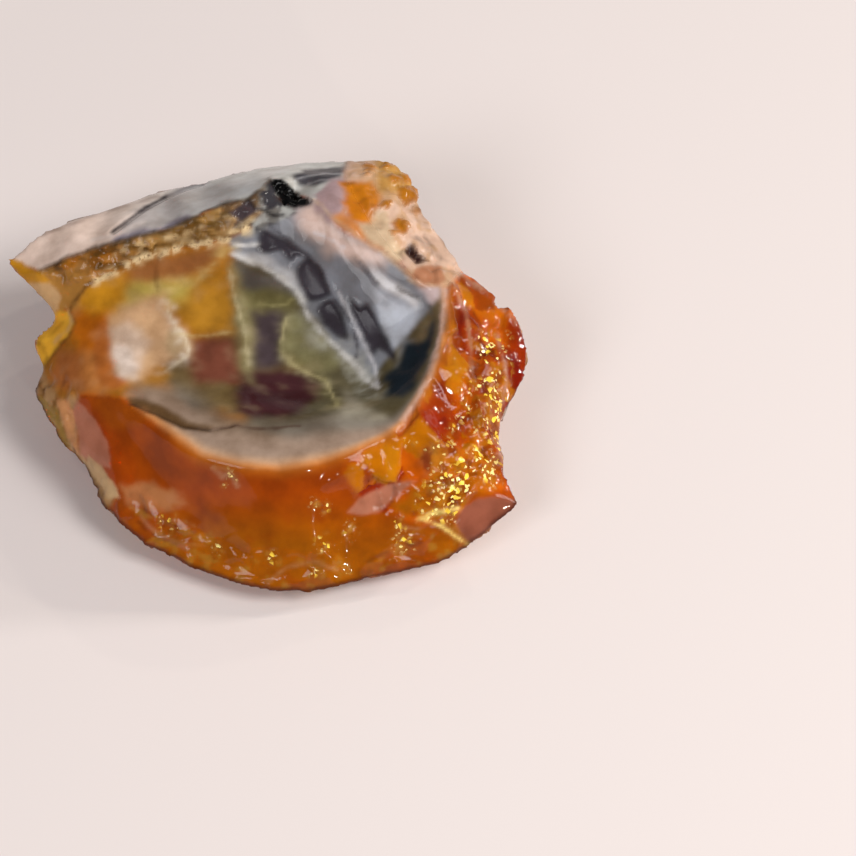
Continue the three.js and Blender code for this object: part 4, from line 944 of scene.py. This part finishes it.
def paint_hidden():
    """The sides that the drawing doesn't show: clear amber breaks with paler frosted crust."""
    paint(under, "DC7212", clear=0.5, rough=0.08)
    paint(under * patches(5.0, 51, (-0.1, 0.6)), "B0480A", clear=0.5)
    paint(under * patches(8.0, 53, (0.1, 0.8)) * 0.8, "8C7A70", clear=0.2, rough=0.08)
    paint(rough_parts * 0.9, "CFA072", clear=0.15, rough=0.4)
    paint(rough_parts * patches(2.0, 52, (-0.2, 0.5)), "AE7238", clear=0.2, rough=0.45)
    behind_slope = smoothstep(-0.9, -0.5, facing) * smoothstep(-0.5, 0.5, inside(drawn, SLOPE))
    paint(under * behind_slope, "A8968C", clear=0.15, rough=0.1)


paint_front()
paint_flank()
lay(FACET_MARKS)
paint_hollow()
paint_wall()
paint_rim()
paint_slope()
paint_corner()
paint_ledge()
paint_pit()
lay(LEFT_MARKS)
paint_foot_shade()
glint = paint_glints()
paint_lines()
paint_hidden()
blend_colours(np.full(len(drawn), 0.7), passes=1)
gathered = patches(2.6, 49, (-0.45, 0.05))
surface.write("stone_colour", np.clip(colour, 0, 1))
surface.write("clearness", clearness)
surface.write("stone_roughness", roughness)
surface.write("glitter", np.clip(in_glitter * gathered + glint, 0, 1))


class Shading:
    """A material's nodes, with short ways to add one and to join it to the others."""

    def __init__(self, name):
        self.material = bpy.data.materials.new(name)
        self.material.use_nodes = True
        self.nodes = self.material.node_tree.nodes
        self.join = self.material.node_tree.links.new
        self.shader = self.nodes["Principled BSDF"]

    def feed(self, socket, value):
        """Joins a socket to an output, or sets it to a plain value or to a hexadecimal colour."""
        if isinstance(value, bpy.types.NodeSocket):
            self.join(value, socket)
        else:
            socket.default_value = (*srgb(value), 1) if isinstance(value, str) else value

    def attribute(self, name, output="Fac"):
        node = self.nodes.new("ShaderNodeAttribute")
        node.attribute_name = name
        return node.outputs[output]

    def texture(self, kind, scale, detail=0.0):
        """A texture over the stone, with features about scale millimetres wide."""
        place = self.nodes.new("ShaderNodeTexCoord")
        node = self.nodes.new(kind)
        node.inputs["Scale"].default_value = 1 / (scale * MM)
        node.inputs["Detail"].default_value = detail
        self.join(place.outputs["Object"], node.inputs["Vector"])
        return node

    def noise(self, scale, detail):
        return self.texture("ShaderNodeTexNoise", scale, detail).outputs["Fac"]

    def ramp(self, source, low, high):
        """A value that runs from 0 to 1 as the source runs from low to high."""
        node = self.nodes.new("ShaderNodeMapRange")
        for name, value in (("Value", source), ("From Min", low), ("From Max", high)):
            self.feed(node.inputs[name], value)
        return node.outputs["Result"]

    def calculated(self, kind, operation, first, second):
        """A maths node that works on two sockets or plain values."""
        node = self.nodes.new(kind)
        node.operation = operation
        self.feed(node.inputs[0], first)
        self.feed(node.inputs[1], second)
        return node

    def times(self, first, second):
        return self.calculated("ShaderNodeMath", "MULTIPLY", first, second).outputs["Value"]

    def vectors(self, operation, first, second):
        return self.calculated("ShaderNodeVectorMath", operation, first, second).outputs["Vector"]

    def dot_product(self, first, second):
        return self.calculated("ShaderNodeVectorMath", "DOT_PRODUCT", first, second).outputs["Value"]

    def bump(self, height, strength, distance, below=None):
        """A surface normal leaned by a height, over another one where that is given."""
        node = self.nodes.new("ShaderNodeBump")
        for name, value in (("Height", height), ("Strength", strength), ("Distance", distance * MM)):
            self.feed(node.inputs[name], value)
        if below is not None:
            self.join(below, node.inputs["Normal"])
        return node.outputs["Normal"]

    def mixed(self, factor, first, second, blend="MIX"):
        """Mix of two colours. Each of them is a socket or a hexadecimal code."""
        node = self.nodes.new("ShaderNodeMix")
        node.data_type = "RGBA"
        node.blend_type = blend
        sockets = {socket.identifier: socket for socket in [*node.inputs, *node.outputs]}
        for name, value in (("Factor_Float", factor), ("A_Color", first), ("B_Color", second)):
            self.feed(sockets[name], value)
        return sockets["Result_Color"]


def opal_material():
    """The painted stone: thin clouds, grit on its frosted parts, golden flecks as partly painted glints,
    amber body.
    """
    opal = Shading("opal")
    roughness_here = opal.attribute("stone_roughness")
    glitter = opal.attribute("glitter")
    clearness_here = opal.attribute("clearness")

    clouds = opal.ramp(opal.noise(2.6, 6.0), 0.35, 0.65)
    tone = opal.mixed(clouds, "C4BCB4", "FFFFFF")
    tint = opal.mixed(0.7, opal.attribute("stone_colour", "Color"), tone, "MULTIPLY")
    grit = opal.ramp(opal.noise(0.35, 4.0), 0.5, 0.7)
    gritty = opal.times(grit, opal.ramp(roughness_here, 0.33, 0.5))
    tint = opal.mixed(gritty, tint, "6A4A2C")

    flakes = opal.texture("ShaderNodeTexVoronoi", FLAKE_SIZE)
    flecks = opal.texture("ShaderNodeTexVoronoi", FLECK_SIZE)
    # The golden flecks are painted glints as well as a fleck colour, and let less light through.
    for cells, code in ((flakes, "FFD84C"), (flecks, "FFEC94")):
        chance = opal.dot_product(cells.outputs["Color"], (1.0, 0.0, 0.0))
        golden_glint = opal.times(opal.ramp(chance, GOLDEN_FROM, GOLDEN_FROM + GOLDEN_STEP), glitter)
        tint = opal.mixed(golden_glint, tint, code)
        clearness_here = opal.times(clearness_here, opal.ramp(golden_glint, 1.0, 0.2))

    # Every flake leans its own way, and over that lie a fine grain on the rough parts and slow waves.
    place = flakes.inputs["Vector"].links[0].from_socket
    scaled = opal.vectors("MULTIPLY", place, (1 / (FLAKE_SIZE * MM),) * 3)
    lean = opal.vectors("SUBTRACT", flakes.outputs["Color"], (0.5, 0.5, 0.5))
    leaning = opal.bump(opal.dot_product(scaled, lean), glitter, 0.2)
    grainy = opal.bump(opal.times(opal.noise(0.5, 5.0), roughness_here), 0.6, 0.1, leaning)
    wavy = opal.bump(opal.noise(4.0, 1.0), 0.4, 0.3, grainy)

    opal.join(tint, opal.shader.inputs["Base Color"])
    opal.join(clearness_here, opal.shader.inputs["Transmission Weight"])
    opal.join(roughness_here, opal.shader.inputs["Roughness"])
    opal.join(wavy, opal.shader.inputs["Normal"])
    opal.shader.inputs["IOR"].default_value = BODY_IOR
    opal.shader.inputs["Specular IOR Level"].default_value = BODY_SPECULAR
    body = opal.nodes.new("ShaderNodeVolumeAbsorption")
    body.inputs["Color"].default_value = BODY_TINT
    body.inputs["Density"].default_value = BODY_DENSITY
    opal.join(body.outputs["Volume"], opal.nodes["Material Output"].inputs["Volume"])
    return opal.material


stone.data.materials.append(opal_material())
stone.data.shade_smooth()

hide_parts("rough_opal")
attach(stone, "root")


def make_floor():
    corners = [(x * FLOOR_REACH, y * FLOOR_REACH, 0) for x, y in ((-1, -1), (1, -1), (1, 1), (-1, 1))]
    mesh = bpy.data.meshes.new("floor")
    mesh.from_pydata(corners, [], [(0, 1, 2, 3)])
    floor = bpy.data.objects.new("floor", mesh)
    bpy.context.scene.collection.objects.link(floor)
    plain = Shading("floor")
    plain.feed(plain.shader.inputs["Base Color"], FLOOR_COLOUR)
    plain.feed(plain.shader.inputs["Roughness"], FLOOR_ROUGHNESS)
    mesh.materials.append(plain.material)


def make_lamp(name, place, width, power, tone):
    data = bpy.data.lights.new(name, "AREA")
    data.shape = "SQUARE"
    data.size = width
    data.energy = power
    data.color = tone
    lamp = bpy.data.objects.new(name, data)
    lamp.location = place
    lamp.rotation_euler = (-Vector(place)).to_track_quat("-Z", "Y").to_euler()
    bpy.context.scene.collection.objects.link(lamp)


def make_world():
    world = bpy.data.worlds.new("world")
    bpy.context.scene.world = world
    world.use_nodes = True
    background = world.node_tree.nodes["Background"]
    background.inputs["Color"].default_value = WORLD_COLOUR
    background.inputs["Strength"].default_value = WORLD_STRENGTH


def make_camera():
    """A camera that looks straight at the drawing."""
    data = bpy.data.cameras.new("camera")
    data.lens, data.sensor_width = LENS, SENSOR
    camera = bpy.data.objects.new("camera", data)
    bpy.context.scene.collection.objects.link(camera)
    bpy.context.scene.camera = camera
    target = DRAWN_ORIGIN + VIEW_CENTRE[0] * RIGHT + VIEW_CENTRE[1] * UP + VIEW_DEPTH * TOWARDS
    place = (target + VIEW_WIDTH * LENS / SENSOR * TOWARDS) * MM
    turn = np.stack([RIGHT, UP, TOWARDS], axis=1)
    camera.matrix_world = Matrix.Translation(Vector(place)) @ Matrix(turn.tolist()).to_4x4()


make_floor()
for lamp in LAMPS:
    make_lamp(*lamp)
make_world()
make_camera()
bpy.context.scene.view_settings.view_transform = "Standard"
